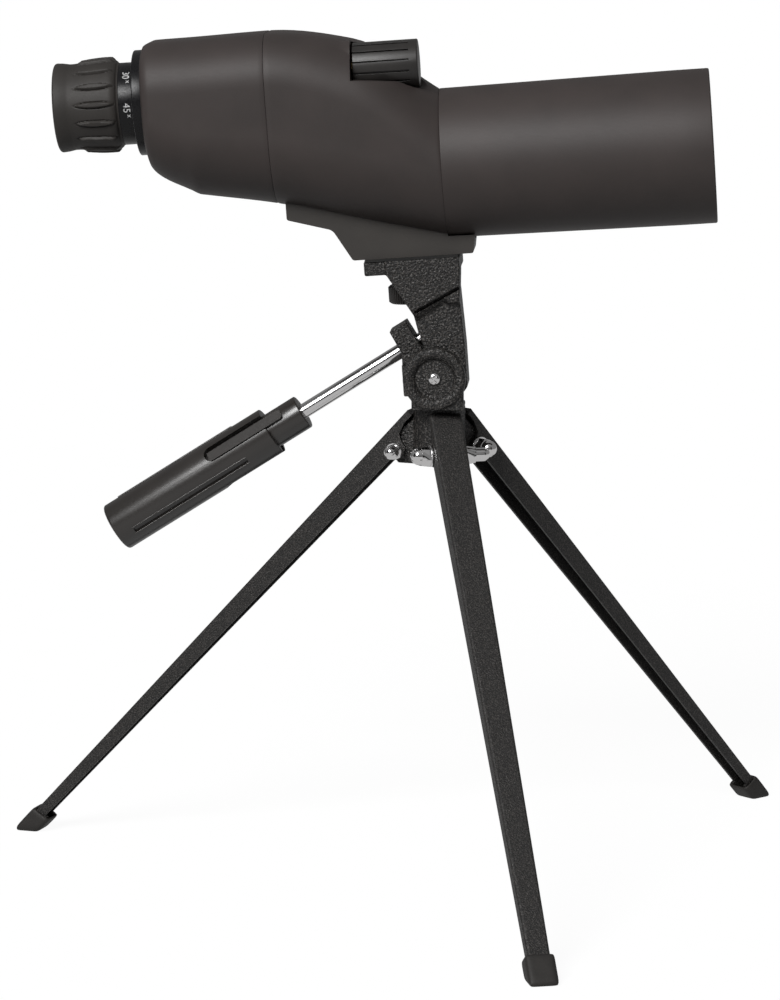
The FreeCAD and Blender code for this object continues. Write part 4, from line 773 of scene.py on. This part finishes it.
tab = plate([(handle["slotEnd"] + 1.2, -handle["tabHalf"]),
             (handle["front"] - handle["tabReach"], -handle["tabHalf"], handle["tabRound"]),
             (handle["front"] - handle["tabReach"], handle["tabHalf"], handle["tabRound"]),
             (handle["slotEnd"] + 1.2, handle["tabHalf"])],
            handle["coreR"] - 2.5, handle["coreR"] + handle["tabTop"], "XY")
gripShell = combined(gripShell, [gripCore, placed(tab, turned(handle["slotTurn"], "X"))], "UNION")
finishPiece("pan_grip", gripShell, clampPlace, "handle", "grip_plastic", ["handle_grip"],
            edge=0.3, sharp=38)
print("handle made")

# Floor, light and camera
studio = {"floorSize": 12.0, "world": 0.0175, "skyMirror": 0.2, "floorMirror": 0.5, "floorGlow": 0.95,
          "top": (0.1, 80, (12, -10, 0)), "key": (2.4, 26, (53, 0, -22)),
          "camera": (0.10584, -1.66229, 0.4358), "target": (0.0012, 0.02471, 0.152), "lens": 151.2,
          "cards": {"card_left": (1.2, 2.4, (-2.2, -1.2, 0.9), -55),
                    "card_right": (0.8, 2.4, (2.0, -2.0, 0.9), 40),
                    "card_front": (5.0, 0.55, (0, -3.2, 0.75), 0)}}


def raysSeen(nodes, links, mirrorShare, throughGlass=False):
    # 1 for the camera, a share of it for mirrored rays, 0 for the rest
    rays = nodes.new("ShaderNodeLightPath")
    faint = nodes.new("ShaderNodeMath")
    faint.operation = "MULTIPLY"
    faint.inputs[1].default_value = mirrorShare
    links.new(rays.outputs["Is Glossy Ray"], faint.inputs[0])
    seen = nodes.new("ShaderNodeMath")
    seen.operation = "MAXIMUM"
    links.new(rays.outputs["Is Camera Ray"], seen.inputs[0])
    links.new(faint.outputs[0], seen.inputs[1])
    if not throughGlass:
        return seen.outputs[0]
    clear = nodes.new("ShaderNodeMath")
    clear.operation = "MAXIMUM"
    links.new(seen.outputs[0], clear.inputs[0])
    links.new(rays.outputs["Is Transmission Ray"], clear.inputs[1])
    return clear.outputs[0]


world = bpy.data.worlds.new("studio")
bpy.context.scene.world = world
world.use_nodes = True
nodes, links = world.node_tree.nodes, world.node_tree.links
level = nodes.new("ShaderNodeMapRange")
level.inputs["To Min"].default_value = studio["world"]
level.inputs["To Max"].default_value = 1.0
nodes["Background"].inputs["Color"].default_value = (1, 1, 1, 1)
links.new(raysSeen(nodes, links, studio["skyMirror"], True), level.inputs["Value"])
links.new(level.outputs["Result"], nodes["Background"].inputs["Strength"])

floorFinish, nodes, links, shader = newFinish("studio floor", (0.10, 0.10, 0.10), 0.9, specular=0.0)
speckle = addNoise(nodes, links, 30, 2)
addRamp(nodes, links, speckle.outputs["Fac"], [(0.3, 0.098), (0.7, 0.102)], shader.inputs["Base Color"])
paleGlow = nodes.new("ShaderNodeMapRange")
paleGlow.inputs["To Max"].default_value = studio["floorGlow"]
shader.inputs["Emission Color"].default_value = (1, 1, 1, 1)
links.new(raysSeen(nodes, links, studio["floorMirror"]), paleGlow.inputs["Value"])
links.new(paleGlow.outputs["Result"], shader.inputs["Emission Strength"])
floorMesh = bmesh.new()
bmesh.ops.create_grid(floorMesh, x_segments=2, y_segments=2, size=studio["floorSize"])
floor = looseObject(floorMesh, "floor")
floor.data.materials.append(floorFinish)

# dark cards that only the shiny metal mirrors
cardFinish, nodes, links, shader = newFinish("studio card", (0.02, 0.02, 0.02), 0.9, specular=0.0)
mottle = addNoise(nodes, links, 3, 2)
addRamp(nodes, links, mottle.outputs["Fac"], [(0.3, 0.015), (0.7, 0.03)], shader.inputs["Base Color"])
for name, (width, height, spot, turn) in studio["cards"].items():
    cardMesh = bmesh.new()
    bmesh.ops.create_grid(cardMesh, x_segments=1, y_segments=1, size=0.5)
    bmesh.ops.scale(cardMesh, verts=cardMesh.verts[:], vec=(width, height, 1))
    place = moved(*spot) @ turned(turn, "Z") @ turned(90, "X")
    card = looseObject(placed(cardMesh, place), name)
    card.data.materials.append(cardFinish)
    card.visible_camera = card.visible_diffuse = card.visible_shadow = card.visible_transmission = False

for name in ("top", "key"):
    strength, spread, lean = studio[name]
    lampData = bpy.data.lights.new(name, "SUN")
    lampData.energy = strength
    lampData.angle = math.radians(spread)
    lamp = bpy.data.objects.new(name, lampData)
    lamp.rotation_euler = tuple(math.radians(angle) for angle in lean)
    bpy.context.scene.collection.objects.link(lamp)

cameraData = bpy.data.cameras.new("view")
cameraData.lens = studio["lens"]
cameraData.sensor_width = 36
camera = bpy.data.objects.new("view", cameraData)
camera.location = studio["camera"]
camera.rotation_euler = (Vector(studio["target"]) - camera.location).to_track_quat("-Z", "Y").to_euler()
cameraData.clip_end = 50
bpy.context.scene.collection.objects.link(camera)
bpy.context.scene.camera = camera
bpy.context.scene.view_settings.view_transform = "Standard"
print("studio set")
